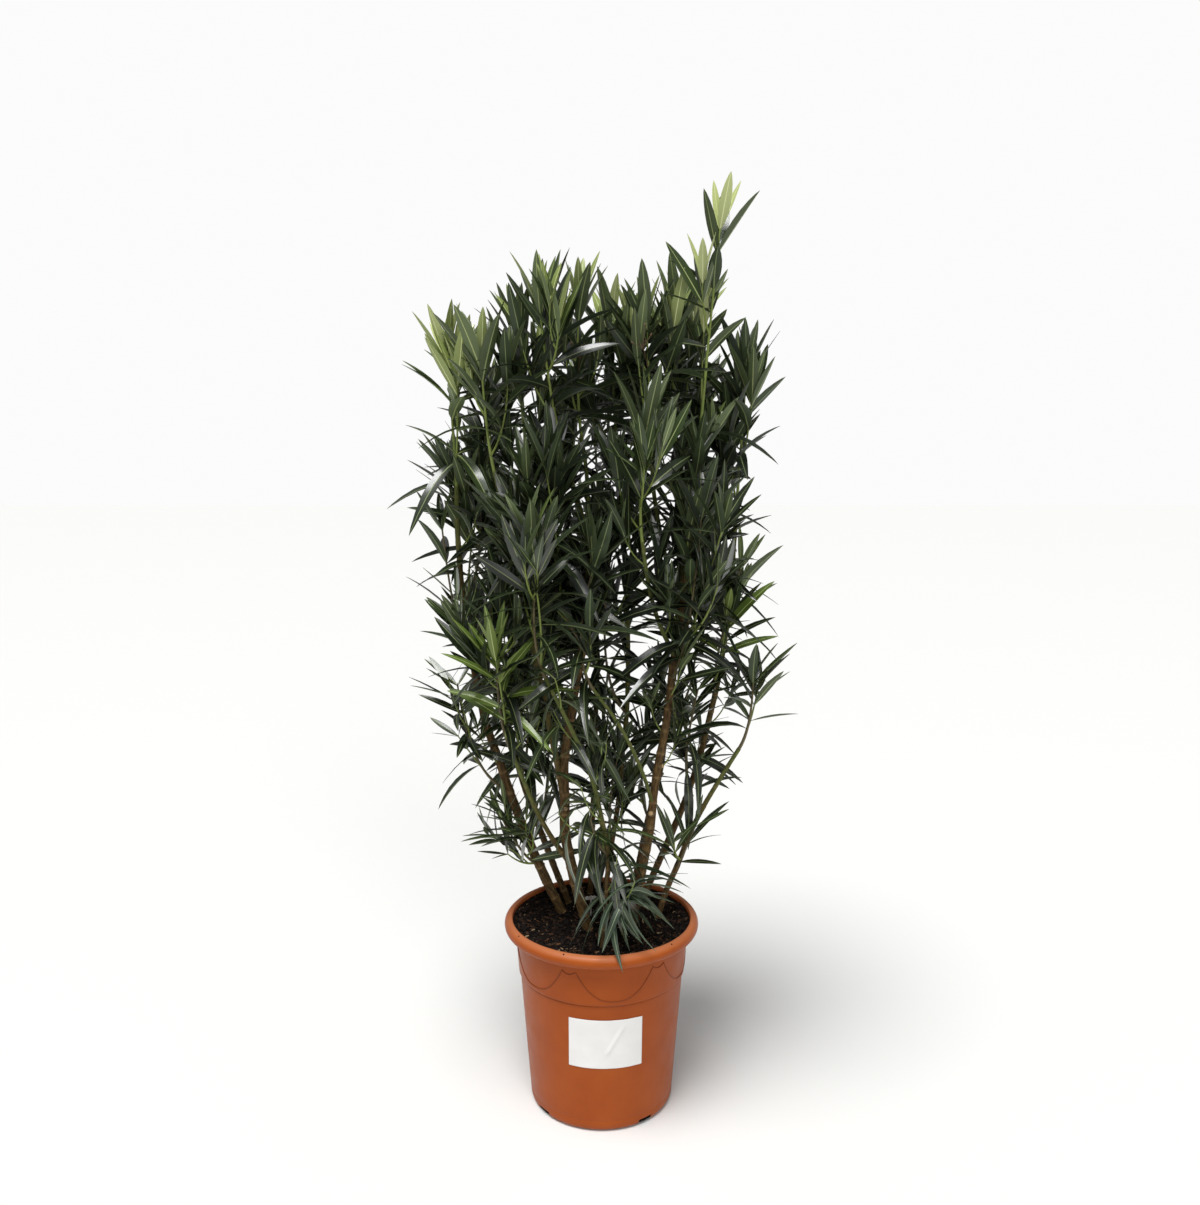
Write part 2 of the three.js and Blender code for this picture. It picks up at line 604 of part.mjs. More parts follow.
/** Side shoots leave the leader in turn round it and bend upwards; one that cannot fit is skipped. */
function sideShoots(frame, leader, turn, random, inside) {
  const found = [];
  for (let k = 0; k < SIDE_SHOOT.count; k += 1) {
    const place = mix(...SIDE_SHOOT.places, k / (SIDE_SHOOT.count - 1));
    const { point: at, along } = alongLine(leader.line, place);
    const length = frame.spread * mix(...SIDE_SHOOT.length, random());
    const bearing = turn + SIDE_SHOOT.firstTurn + k * SIDE_SHOOT.turnEach;
    for (const shift of SIDE_SHOOT.turns) {
      const outward = sideways(along, bearing + shift);
      const reach = (out, up) =>
        at.clone().addScaledVector(outward, length * out).addScaledVector(along, length * up);
      const knee = reach(SIDE_SHOOT.kneeOut, SIDE_SHOOT.kneeUp);
      const end = reach(SIDE_SHOOT.endOut, SIDE_SHOOT.endUp);
      const curve = new THREE.QuadraticBezierCurve3(at, knee, end);
      if (SIDE_SHOOT.probes.every((t) => inside(curve.getPoint(t), TWIG_RADIUS))) {
        const radii = [FORK_RADIUS, TWIG_TIP_RADIUS, TWIG_TIP_RADIUS];
        found.push(shoot(curve, radii, [SIDE_SHOOT.whorl], turn + k, frame.opening));
        break;
      }
    }
  }
  return found;
}

/** One mass: a leader and its side shoots with their whorls of three, fused into one solid. */
function massGeometry(frame) {
  const random = seeded(frame.name);
  const inside = (point, width) => inOwnSpace(frame, point) && clearOfLimbs(point, width);
  const turn = random() * 2 * Math.PI;
  const leader = leaderShoot(frame, turn);
  const shoots = [leader, ...sideShoots(frame, leader, turn, random, inside)];
  const twigs = shoots.map(({ tube }) => tube);
  const blades = [];
  const leaves = [];

  /** Adds a leaf; where it would touch something it is held closer to its shoot or turned. */
  function addLeaf({ point, along, opening }, spin, length) {
    for (let attempt = 0; attempt < CLOSER.length; attempt += 1) {
      const fitted = attempt < FULL_TRIES ? length : length * LEAF.short;
      for (const shift of TURNS) {
        const outward = sideways(along, spin + shift);
        const angle = radians(opening * CLOSER[attempt]);
        const [rise, out] = [Math.cos(angle), Math.sin(angle)];
        const heading = along.clone().multiplyScalar(rise).addScaledVector(outward, out);
        const back = along.clone().multiplyScalar(out).addScaledVector(outward, -rise);
        const corners = leafCorners(point, heading, back, fitted);
        if (!leafProbes(corners).every((probe) => inside(probe, 0))) continue;
        const neck = corners.root.clone().addScaledVector(heading, length * LEAF.neck);
        const blade = toSolid(leafGeometry({ ...corners, root: neck }));
        const others = [...blades, ...twigs, ...limbShells];
        if (others.some((other) => !other.intersect(blade).isEmpty())) continue;
        blades.push(blade);
        leaves.push(toSolid(leafGeometry(corners)));
        return;
      }
    }
  }

  for (const whorl of shoots.flatMap(({ whorls }) => whorls)) {
    for (let k = 0; k < 3; k += 1) {
      const spin = whorl.turn + (k * 2 * Math.PI) / 3 + WHORL_STRAY * (random() - 0.5);
      const opening = whorl.opening * mix(...OPENING_VARY, random());
      addLeaf({ ...whorl, opening }, spin, leafLength(whorl.point.z) * mix(...LEAF.vary, random()));
    }
  }

  let solid = wasm.Manifold.union([...twigs, ...leaves]);
  if (!frame.fromTip) solid = solid.subtract(toSolid(limbTube(frame.on, CLEAR)));
  return toGeometry(solid);
}

// ---------------------------------------------------------------- the whole plant

const plant = new THREE.Group();
plant.add(named("tub", tub(), COLOURS.tub, 0.45));
plant.add(named("compost", compost(), COLOURS.compost, 0.95));
plant.add(named("label", label(), COLOURS.paper, 0.8));
plant.add(named("tag", tag(), COLOURS.tag, 0.5));
for (const name of Object.keys(LIMBS)) {
  plant.add(named(name, limbGeometry(name), COLOURS.bark, 0.85));
}
for (const frame of frames) {
  const young = frame.top.z > 1590;
  plant.add(named(frame.name, massGeometry(frame), young ? COLOURS.youngLeaf : COLOURS.leaf, 0.5));
}

export default plant;
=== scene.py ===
"""Looks of a potted oleander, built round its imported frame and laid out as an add-on.

The solids of the frame give the tub, the limbs and the reach of every foliage mass. This script puts
a turned tub with its rolled rim and garlands, a bed of bark compost, bark with relief, and leafy
shoots in whorls of three in their place. Tables are in millimetres, and meshes in metres.
"""

import math
import zlib

import bpy
import numpy as np
from bpy.props import FloatProperty, IntProperty, PointerProperty, StringProperty
from bpy.types import Operator, Panel, PropertyGroup
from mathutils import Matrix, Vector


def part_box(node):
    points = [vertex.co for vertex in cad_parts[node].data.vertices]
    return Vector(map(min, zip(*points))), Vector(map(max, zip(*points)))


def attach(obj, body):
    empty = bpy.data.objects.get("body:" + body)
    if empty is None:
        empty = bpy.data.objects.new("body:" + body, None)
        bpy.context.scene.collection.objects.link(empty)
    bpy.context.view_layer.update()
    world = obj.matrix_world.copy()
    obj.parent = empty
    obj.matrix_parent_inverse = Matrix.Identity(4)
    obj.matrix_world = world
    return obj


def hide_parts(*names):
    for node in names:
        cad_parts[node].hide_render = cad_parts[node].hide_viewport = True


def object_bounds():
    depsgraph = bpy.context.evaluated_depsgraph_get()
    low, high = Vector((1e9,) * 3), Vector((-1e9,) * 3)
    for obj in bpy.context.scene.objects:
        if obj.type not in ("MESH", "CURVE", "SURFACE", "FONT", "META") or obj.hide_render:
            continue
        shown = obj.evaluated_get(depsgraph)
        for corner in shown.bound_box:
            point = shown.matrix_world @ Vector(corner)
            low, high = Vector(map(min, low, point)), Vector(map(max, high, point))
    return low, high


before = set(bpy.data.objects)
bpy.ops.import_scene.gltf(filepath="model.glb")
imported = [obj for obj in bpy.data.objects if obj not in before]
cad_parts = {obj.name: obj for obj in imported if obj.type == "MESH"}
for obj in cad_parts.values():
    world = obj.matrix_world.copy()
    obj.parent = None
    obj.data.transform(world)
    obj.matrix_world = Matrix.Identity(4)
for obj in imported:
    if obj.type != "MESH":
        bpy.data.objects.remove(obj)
CAD_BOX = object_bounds()

bl_info = {
    "name": "Potted Oleander",
    "version": (1, 0, 0),
    "blender": (4, 5, 0),
    "location": "3D View > Sidebar > Oleander",
    "description": "Builds a multi-stemmed oleander in a terracotta-coloured tub round its frame",
    "category": "Object",
}

MM = 0.001
BODY = "root"
CIRCLE = 2 * math.pi

# ------------------------------------------------------------------ the plant's plan, in millimetres

COMPOST_LEVEL = 372.0
# The gap that keeps two solids from touching, and how far leaf tips may pass a mass's reach.
CLEAR = 0.3
OVERREACH = 14
# Limbs: how far apart their points are, the slimmer foot of a stem and the height over which it
# fades, how far they stray at each point, and the power by which they taper.
RING_SPACING = 72
STEM_FLARE = 0.85
FLARE_HEIGHT = 45
CROOK = 2.4
TAPER = 0.8

# Stems: foot on the compost, tip, bow, sway and radii at foot and tip. Boughs fork from the limb
# "on" at "at" of that limb's length.
LIMBS = {
    "stem_left": dict(foot=(-84, 46), tip=(-286, 8, 1270), bow=(-58, 0), radius=(11.5, 4.6)),
    "stem_left_back": dict(foot=(-70, 92), tip=(-238, 150, 1130), bow=(-46, 10), radius=(8, 4.2)),
    "stem_centre": dict(foot=(-28, -35), tip=(-78, -58, 1360), bow=(2, 0), sway=(-36, 0), radius=(12.5, 4.6)),
    "stem_front": dict(foot=(1, -118), tip=(-104, -158, 920), bow=(52, 0), radius=(5.2, 3.6)),
    "stem_back": dict(foot=(-25, 140), tip=(-8, 228, 1180), bow=(4, 30), radius=(7, 4.2)),
    "stem_dark": dict(foot=(2, 98), tip=(34, 96, 1280), bow=(36, 0), radius=(6, 4.2)),
    "stem_right": dict(foot=(62, -39), tip=(188, -27, 1350), bow=(10, 0), radius=(10, 5.2)),
    "stem_right_outer": dict(foot=(84, 76), tip=(270, 42, 1210), bow=(48, 0), radius=(8, 4.4)),
    "stem_far_right": dict(foot=(118, 20), tip=(280, 6, 740), bow=(-16, 0), radius=(7, 4.2)),
    "stem_back_right": dict(foot=(62, 132), tip=(172, 214, 1120), bow=(30, 26), radius=(7.5, 4.2)),
    "bough_left": dict(on="stem_centre", at=0.27, tip=(-204, -60, 1300), bow=(4, -12), radius=(6.4, 4)),
    "bough_left_inner": dict(on="bough_left", at=0.66, tip=(-150, 10, 1350), bow=(6, 12), radius=(4.2, 3.6)),
    "bough_left_low": dict(on="stem_centre", at=0.14, tip=(-178, -92, 770), bow=(-10, -8), radius=(5.6, 3.8)),
    "bough_centre": dict(on="stem_centre", at=0.73, tip=(-40, 34, 1370), bow=(8, 14), radius=(4.8, 3.8)),
    "bough_front": dict(on="stem_right", at=0.27, tip=(-16, -118, 890), bow=(18, -12), radius=(3.9, 3.3)),
    "bough_front_right": dict(
        on="stem_right", at=0.58, tip=(76, -108, 1170), bow=(-14, -14), radius=(4.6, 3.8)
    ),
    "bough_inner_right": dict(on="stem_right", at=0.68, tip=(98, 4, 1350), bow=(-16, 6), radius=(4.8, 3.8)),
    "bough_back_right": dict(on="stem_right", at=0.63, tip=(152, 92, 1350), bow=(10, 26), radius=(4.8, 3.8)),
}

# Foliage masses: the limb each grows from, the share of that limb's length (1 is its tip), the top
# that its furthest leaves reach, its half-width, how full its growth is, how far its shoots stray
# aside, and its tone, from 0 for pale young leaves to 5 for dark old ones; tone 6 is a dull
# blue-grey. What else differs comes by name: "opening" is the angles between leaf and shoot, low
# down and at the tip, "internode" the distance between whorls, "slim" a leaf's length by its width,
# "bare" the leafless share of the leader, "turn" where its first whorl starts, and "young" how many
# of its side shoots are fresh.
MASSES = {
    "left_top": ("stem_left", 1, (-306, 0, 1625), 78, 0.7, 0.75, 1.8, dict(opening=(84, 20))),
    "left_top_inner": ("bough_left", 1, (-236, -66, 1612), 90, 0.75, 0.95, 3.2),
    "left_top_centre": ("bough_left_inner", 1, (-170, 12, 1660), 85, 0.6, 1, 4.0),
    "centre_top_left": ("stem_centre", 1, (-132, -62, 1712), 95, 0.7, 1, 4.2),
    "centre_top": ("bough_centre", 1, (-46, 30, 1726), 90, 0.8, 1, 3.8),
    "centre_top_back": ("stem_dark", 1, (14, 112, 1690), 95, 1.0, 1, 3.6),
    "inner_right_top": ("bough_inner_right", 1, (80, -12, 1694), 96, 0.85, 1, 4.2),
    "back_right_top": ("bough_back_right", 1, (152, 96, 1722), 90, 1.0, 1, 3.8),
    "crown_tip": (
        "stem_right", 1, (232, -20, 1858), 95, 0.42, 0.6, 3.2,
        dict(internode=54, slim=4.9, turn=0.0),
    ),
    "right_top": ("stem_right_outer", 1, (292, 36, 1612), 66, 0.7, 0.7, 4.2),
    "rear_left_top": ("stem_left_back", 1, (-222, 158, 1560), 105, 0.8, 1, 3.8),
    "rear_top": ("stem_back", 1, (-30, 236, 1610), 110, 0.8, 1, 4.0),
    "rear_right_top": ("stem_back_right", 1, (182, 214, 1590), 110, 0.8, 1, 4.0),
    "left_mid": (
        "stem_left", 0.6, (-334, -14, 1290), 92, 0.2, 0.4, 4.5,
        dict(opening=(84, 30), internode=62, slim=6.8, bare=0.45, turn=1.0),
    ),
    "left_upper_mid": ("stem_left", 0.74, (-236, 76, 1400), 80, 0.55, 0.8, 4.0),
    "left_front_mid": ("bough_left_low", 1, (-190, -118, 1170), 105, 0.6, 0.9, 4.2, dict(young=1)),
    "front_left_mid": ("stem_front", 1, (-110, -160, 1290), 92, 0.6, 0.9, 4.2),
    "centre_mid": ("stem_centre", 0.6, (-112, -96, 1440), 80, 0.9, 1, 4.6),
    "front_mid": ("bough_front", 1, (-8, -122, 1250), 90, 0.35, 0.9, 4.4),
    "front_right_mid": ("bough_front_right", 1, (86, -116, 1490), 98, 0.9, 1, 4.2),
    "right_front_mid": ("stem_right", 0.53, (204, -110, 1330), 92, 0.5, 0.9, 4.2),
    "right_upper_mid": ("stem_right_outer", 0.74, (246, 56, 1440), 86, 0.3, 0.75, 4.2),
    "right_mid": (
        "stem_right_outer", 0.56, (296, 10, 1210), 82, 0.28, 0.5, 3.6,
        dict(internode=50, young=1),
    ),
    "rear_left_mid": ("stem_left_back", 0.5, (-190, 226, 1180), 105, 0.6, 1, 4.4, dict(young=1)),
    "rear_mid": ("stem_back", 0.5, (-40, 290, 1200), 105, 0.3, 1, 4.6),
    "rear_right_mid": ("stem_back_right", 0.5, (220, 240, 1160), 105, 0.35, 1, 4.4, dict(young=1)),
    "inner_mid": ("stem_dark", 0.46, (14, 40, 1260), 95, 0.45, 1, 4.8),
    "left_low": (
        "stem_left", 0.3, (-330, 0, 960), 88, 0.35, 0.35, 4.0,
        dict(opening=(98, 46), internode=46, slim=6.6, bare=0.35),
    ),
    "left_inner_low": (
        "stem_left_back", 0.36, (-158, 40, 1000), 80, 0.8, 0.9, 3.6,
        dict(opening=(98, 46), slim=6.4),
    ),
    "left_foot": (
        "stem_left", 0.12, (-238, -26, 650), 80, 0.6, 0.9, 4.0,
        dict(opening=(100, 42), internode=40),
    ),
    "right_low": ("stem_far_right", 1, (318, 0, 970), 88, 0.3, 0.55, 3.8, dict(opening=(95, 40), bare=0.2)),
    "right_front_low": (
        "stem_right_outer", 0.32, (196, -44, 960), 90, 0.35, 0.9, 4.2,
        dict(opening=(100, 50), slim=6.4),
    ),
    "front_low": (
        "stem_front", 0.36, (-46, -170, 810), 92, 0.5, 0.95, 4.0,
        dict(opening=(104, 50), internode=36, slim=5.8),
    ),
    "inner_low": ("stem_dark", 0.16, (40, 60, 800), 85, 0.55, 1, 4.6, dict(slim=6.2)),
    "front_tuft": (
        "stem_front", 0.1, (64, -112, 590), 104, 0.42, 0.8, 6.0,
        dict(opening=(132, 74), internode=10, slim=5.4),
    ),
    "right_foot": (
        "stem_far_right", 0.3, (206, -50, 640), 68, 0.3, 0.9, 4.0,
        dict(opening=(92, 35), internode=44),
    ),
    "rear_left_low": ("stem_left_back", 0.22, (-116, 250, 850), 105, 0.5, 1, 4.2),
    "rear_right_low": ("stem_back_right", 0.22, (128, 280, 850), 105, 0.3, 1, 4.2),
}

# Masses that reach above this are high ones, and open their leaves less.
HIGH_TOP = 1450
OPENING = (82, 22)
HIGH_OPENING = (66, 16)
# A mass that opens its leaves past this angle nods: they hang about one axis, near the shoot's tip.
NODDING = 100
NODDING_AXIS = (-0.5, 0.04, 1.0)
NODDING_BARE = 0.62
# The leafless foot of a leader that forks from the side of its limb.
FORKED_BARE = 0.14
# Spurs on limbs: how much likelier than its mass's fullness, and where the first one stands.
SPUR_EXTRA = {
    "stem_right": 0.8,
    "bough_inner_right": 0.6,
    "bough_front_right": 0.7,
    "stem_front": 0.5,
    "stem_dark": 0.3,
    "stem_far_right": 0.3,
}
SPUR_FROM = {"stem_front": 120, "stem_dark": 150}
# The solids' own rule for a leader's curve and for the length of their leaves.
LEADER = dict(tuft=0.9, tuft_limit=0.45, knee=0.4, aside=0.3, back=0.14)
CAD_LEAF = dict(low_length=118, high_length=162, low_level=500, high_level=1200)

# ------------------------------------------------------------------ small helpers


def rng_of(name):
    """A repeatable random source, seeded from a name."""
    return np.random.default_rng(zlib.crc32(name.encode()))


def seeded(name):
    """The frame's own repeatable random source (mulberry32), so that limbs keep the same crooks."""
    state = 2166136261
    for letter in name:
        state = ((state ^ ord(letter)) * 16777619) & 0xFFFFFFFF

    def draw():
        nonlocal state
        state = (state + 0x6D2B79F5) & 0xFFFFFFFF
        t = ((state ^ (state >> 15)) * (1 | state)) & 0xFFFFFFFF
        t = ((t + (((t ^ (t >> 7)) * (61 | t)) & 0xFFFFFFFF)) & 0xFFFFFFFF) ^ t
        return ((t ^ (t >> 14)) & 0xFFFFFFFF) / 4294967296

    return draw


def mix(a, b, t):
    """What lies t of the way from a to b."""
    return a + (b - a) * t


def in_mm(box):
    """A box's low and high corner in millimetres."""
    return [np.array(corner) / MM for corner in box]


def unit(vectors):
    """Vectors of any array shape, each divided by its length."""
    return vectors / np.maximum(np.linalg.norm(vectors, axis=-1, keepdims=True), 1e-9)


def smooth(t):
    """The smooth step 3t^2 - 2t^3, with t held between 0 and 1."""
    t = np.clip(t, 0, 1)
    return t * t * (3 - 2 * t)


def turned(vectors, axes, angles):
    """Vectors turned about unit axes: v cos a + (k x v) sin a + k (k.v)(1 - cos a)."""
    angles = np.asarray(angles)[..., None]
    along = np.sum(axes * vectors, axis=-1, keepdims=True)
    return (
        vectors * np.cos(angles)
        + np.cross(axes, vectors) * np.sin(angles)
        + axes * along * (1 - np.cos(angles))
    )


def sideways(axis, angle):
    """A direction square to a unit axis, turned by an angle about it."""
    start = np.array([0.0, 0.0, 1.0]) if abs(axis[2]) < 0.9 else np.array([1.0, 0.0, 0.0])
    across = unit(np.cross(start, axis))
    return turned(across, axis, angle)


def wavy(points, scale, seed, octaves=3):
    """Smooth noise from -1 to 1: sums of sines along seeded directions, each octave finer by 1.9."""
    random = np.random.default_rng(seed)
    total = np.zeros(points.shape[:-1])
    for octave in range(octaves):
        for _ in range(4):
            direction = unit(random.normal(size=3)) * (CIRCLE / scale) * 1.9**octave
            total += np.sin(points @ direction + random.uniform(0, 6.3)) / (4 * 1.6**octave)
    return total


def grid_faces(rows, columns, closed=False):
    """Quads of a grid of rows by columns of vertices; closed joins the last column to the first."""
    r, c = np.meshgrid(np.arange(rows - 1), np.arange(columns if closed else columns - 1), indexing="ij")
    after = (c + 1) % columns
    quads = [r * columns + c, r * columns + after, (r + 1) * columns + after, (r + 1) * columns + c]
    return np.stack(quads, axis=-1).reshape(-1, 4)


def add_piece(name, shape, materials, replaced=(), indices=None, uv=None, facets=False):
    """A mesh object from vertices in millimetres and faces. It rides on the body and stands for the
    replaced nodes. indices are the faces' materials, and uv the vertices' places on the surface."""
    vertices, faces = shape
    mesh = bpy.data.meshes.new(name)
    vertices = np.asarray(vertices, float).reshape(-1, 3) * MM
    faces = np.asarray(faces, int)
    mesh.vertices.add(len(vertices))
    mesh.vertices.foreach_set("co", vertices.ravel())
    mesh.loops.add(faces.size)
    mesh.loops.foreach_set("vertex_index", faces.ravel())
    mesh.polygons.add(len(faces))
    mesh.polygons.foreach_set("loop_start", np.arange(0, faces.size, faces.shape[1]))
    if uv is not None:
        layer = mesh.uv_layers.new(name="Surface")
        layer.data.foreach_set("uv", np.asarray(uv, float)[faces.ravel()].ravel())
    for material in materials:
        mesh.materials.append(material)
    if indices is not None:
        mesh.polygons.foreach_set("material_index", np.asarray(indices, int))
    mesh.update(calc_edges=True)
    mesh.validate()
    if facets:
        mesh.shade_flat()
    else:
        mesh.shade_smooth()
    piece = bpy.data.objects.new(name, mesh)
    bpy.context.scene.collection.objects.link(piece)
    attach(piece, BODY)
    if replaced:
        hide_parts(*replaced)
    return piece


def joined(parts):
    """Vertices and faces of several meshes as one: each part's faces are shifted past those before."""
    vertices, faces, shift = [], [], 0
    for part_vertices, part_faces in parts:
        flat = np.asarray(part_vertices).reshape(-1, 3)
        vertices.append(flat)
        faces.append(np.asarray(part_faces) + shift)
        shift += len(flat)
    return np.concatenate(vertices), np.concatenate(faces)


def rings_along(points, sides):
    """Angles round a line of points, and the directions cos a across + sin a second at each point,
    both square to the line, with no twist."""
    along = unit(np.gradient(points, axis=0))
    chord = np.abs(points[-1] - points[0])
    reference = np.eye(3)[int(np.argmin(chord))]
    second = unit(np.cross(along, reference))
    across = np.cross(second, along)
    angles = np.arange(sides) * CIRCLE / sides
    ring = np.cos(angles)[None, :, None] * across[:, None] + np.sin(angles)[None, :, None] * second[:, None]
    return angles, ring


def tube(points, radii, sides):
    """A tube: each ring is centre + radius times the directions round it, closed at the end by a
    point."""
    radii = np.append(np.broadcast_to(np.asarray(radii, float), len(points)), 0.02)
    points = np.vstack([points, points[-1] + 0.2 * (points[-1] - points[-2])])
    vertices = points[:, None] + radii[:, None, None] * rings_along(points, sides)[1]
    return vertices.reshape(-1, 3), grid_faces(len(points), sides, closed=True)


def walked(points):
    """Each point's distance from the start of a line, along it."""
    return np.concatenate([[0], np.cumsum(np.linalg.norm(np.diff(points, axis=0), axis=1))])


def quadratic(start, knee, end, count):
    """A quadratic curve: (1-t)^2 start + 2t(1-t) knee + t^2 end."""
    t = np.linspace(0, 1, count)[:, None]
    return (1 - t) ** 2 * start + 2 * t * (1 - t) * knee + t**2 * end


def through(points, values, step):
    """A smooth line through points (Catmull-Rom), sampled about every step, with values mixed along."""
    points = np.asarray(points, float)
    before = np.vstack([2 * points[0] - points[1], points, 2 * points[-1] - points[-2]])
    count = max(2, int(np.linalg.norm(points[-1] - points[0]) / (len(points) - 1) / step))
    t = np.arange(count)[None, :, None] / count
    p0, p1, p2, p3 = (before[i : i + len(points) - 1, None] for i in range(4))
    line = 0.5 * (
        2 * p1 + (p2 - p0) * t + (2 * p0 - 5 * p1 + 4 * p2 - p3) * t**2 + (3 * p1 - p0 - 3 * p2 + p3) * t**3
    )
    values = np.asarray(values, float)
    between = values[:-1, None] + (values[1:, None] - values[:-1, None]) * t[..., 0]
    return np.vstack([line.reshape(-1, 3), points[-1]]), np.append(between.ravel(), values[-1])


# ------------------------------------------------------------------ materials


def linear(colour):
    """An sRGB hex colour, such as #A65528, as linear red, green, blue and alpha."""
    parts = [int(colour[i : i + 2], 16) / 255 for i in (1, 3, 5)]
    return [c / 12.92 if c <= 0.04045 else ((c + 0.055) / 1.055) ** 2.4 for c in parts] + [1.0]


def add_node(tree, kind, output=0, props=None, values=None, links=None, stops=()):
    """Adds a node and gives back one of its outputs. props are its settings, values its inputs'
    values, links its inputs' sources, and stops a ramp's places with their sRGB hex colours."""
    made = tree.nodes.new("ShaderNode" + kind)
    for name, value in (props or {}).items():
        setattr(made, name, value)
    for name, value in (values or {}).items():
        made.inputs[name].default_value = value
    for name, source in (links or {}).items():
        tree.links.new(source, made.inputs[name])
    if stops:
        elements = made.color_ramp.elements
        while len(elements) < len(stops):
            elements.new(0.5)
        for element, (place, colour) in zip(elements, stops):
            element.position = place
            element.color = linear(colour)
    return made.outputs[output]


def link_shader(material, sources):
    """Links sources to inputs of a material's shader."""
    tree = material.node_tree
    for name, source in sources.items():
        tree.links.new(source, tree.nodes["Principled BSDF"].inputs[name])


def surface(name, colour, roughness, ior, coat=0.0, coat_roughness=0.1, specular=0.5):
    """A Principled material with plain values. Specular under a half stands for a surface whose fine
    grain scatters most of its mirror image away."""
    material = bpy.data.materials.new(name)
    material.use_nodes = True
    material.diffuse_color = linear(colour)
    inputs = material.node_tree.nodes["Principled BSDF"].inputs
    values = {
        "Base Color": linear(colour),
        "Roughness": roughness,
        "IOR": ior,
        "Specular IOR Level": specular,
        "Coat Weight": coat,
        "Coat Roughness": coat_roughness,
    }
    for key, value in values.items():
        inputs[key].default_value = value
    return material


def blobs(size_mm, detail=3.0, roughness=0.55):
    """Values of a noise whose blobs measure about size_mm on Object coordinates, in metres."""
    return {"Scale": 1 / (size_mm * MM), "Detail": detail, "Roughness": roughness}


def spans(*ends):
    """Values that map one range, given by its ends, on another."""
    return dict(zip(("From Min", "From Max", "To Min", "To Max"), ends))


def grained(material, clouds, stops, grain=None, depth_mm=0.0):
    """Colours a material by a ramp over the noise clouds, and gives it relief, depth_mm deep, from the
    noise grain. Gives back its coordinates on the piece and its tint."""
    tree = material.node_tree
    place = add_node(tree, "TexCoord", "Object")
    cloud = add_node(tree, "TexNoise", values=clouds, links={"Vector": place})
    tint = add_node(tree, "ValToRGB", links={"Fac": cloud}, stops=stops)
    link_shader(material, {"Base Color": tint})
    if grain:
        height = add_node(tree, "TexNoise", values=grain, links={"Vector": place})
        values = {"Strength": 1.0, "Distance": depth_mm * MM}
        link_shader(material, {"Normal": add_node(tree, "Bump", values=values, links={"Height": height})})
    return place, tint


# The Mix node's inputs A and B and its output, for colours.
COLOUR_A, COLOUR_B, COLOUR_OUT = 6, 7, 2
# Heights, in metres, over which the top of the rim is painted paler, as a painted sheen where the overhead
# light falls, and the share of that paler colour.
RIM_SHEEN_LEVELS = (0.380, 0.390)
RIM_SHEEN_SHARE = 0.45


def moulded_polypropylene(colour):
    """Injection-moulded polypropylene, through-dyed: soft sheen, faint clouding from the flow and a
    fine grain. The real grain is about 0.3 mm, drawn at 1.2 mm so that it shows. The top of the
    rim is painted paler, a painted sheen where the light from above falls on it."""
    material = surface("moulded polypropylene", colour, 0.42, 1.49, specular=0.2)
    tree = material.node_tree
    stops = [(0.3, "#91410C"), (0.52, colour), (0.75, "#9F4C12")]
    place, tint = grained(material, blobs(90, 4), stops, blobs(1.2, 2), 0.12)
    # Painted sheen: the top of the rim is mixed towards a paler colour, for the light that falls on it from
    # above.
    height = add_node(tree, "SeparateXYZ", "Z", links={"Vector": place})
    sheen_amount = add_node(tree, "MapRange", values=spans(*RIM_SHEEN_LEVELS, 0.0, RIM_SHEEN_SHARE), links={"Value": height})
    painted_sheen = {COLOUR_B: linear("#CF8A62")}
    rgba = {"data_type": "RGBA"}
    with_painted_sheen = add_node(tree, "Mix", COLOUR_OUT, rgba, painted_sheen, {"Factor": sheen_amount, COLOUR_A: tint})
    gloss = add_node(tree, "TexNoise", values=blobs(35, 4), links={"Vector": place})
    spread = add_node(tree, "MapRange", values=spans(0.3, 0.7, 0.34, 0.47), links={"Value": gloss})
    link_shader(material, {"Base Color": with_painted_sheen, "Roughness": spread})
    return material


def painted_shade_line():
    """The same plastic, darkened as painted shade for the shadow along a moulded line."""
    return surface("polypropylene in a moulded line", "#7E3A12", 0.5, 1.49, specular=0.2)


def painted_hole_shade():
    """Painted shade for the inside of a moulded hole or notch: near black and dull, as where no light gets
    in.
    """
    return surface("dark inside of a moulded hole", "#0E0704", 0.9, 1.49, specular=0.1)


def bark_compost():
    """Moist bark and peat compost: nearly black with damp brown fibres, dull all over."""
    material = surface("moist bark compost", "#191210", 0.9, 1.4, specular=0.15)
    stops = [(0.35, "#070504"), (0.55, "#150F0C"), (0.72, "#2C1F17")]
    grained(material, blobs(6, 5, 0.65), stops, blobs(3, 4), 2.0)
    return material


def bark_chip(name, colour):
    """A torn shard of composted bark: plain colour, dull, with the damp's faint sheen."""
    return surface(name, colour, 0.8, 1.45, specular=0.2)


def plain_paper():
    """Uncoated office paper: matt white, faintly clouded by its fibres."""
    material = surface("uncoated paper", "#E2E1DF", 0.85, 1.45)
    grained(material, blobs(40, 3), [(0.3, "#DEDDDB"), (0.7, "#E4E3E1")], blobs(1.5, 3), 0.03)
    return material


def tag_plastic():
    """Thin white polystyrene of a plant tag, weathered chalky and stained by compost."""
    material = surface("weathered polystyrene", "#DCDAD3", 0.55, 1.59)
    grained(material, blobs(7, 4), [(0.35, "#B9B2A4"), (0.55, "#E4E2DC")])
    return material


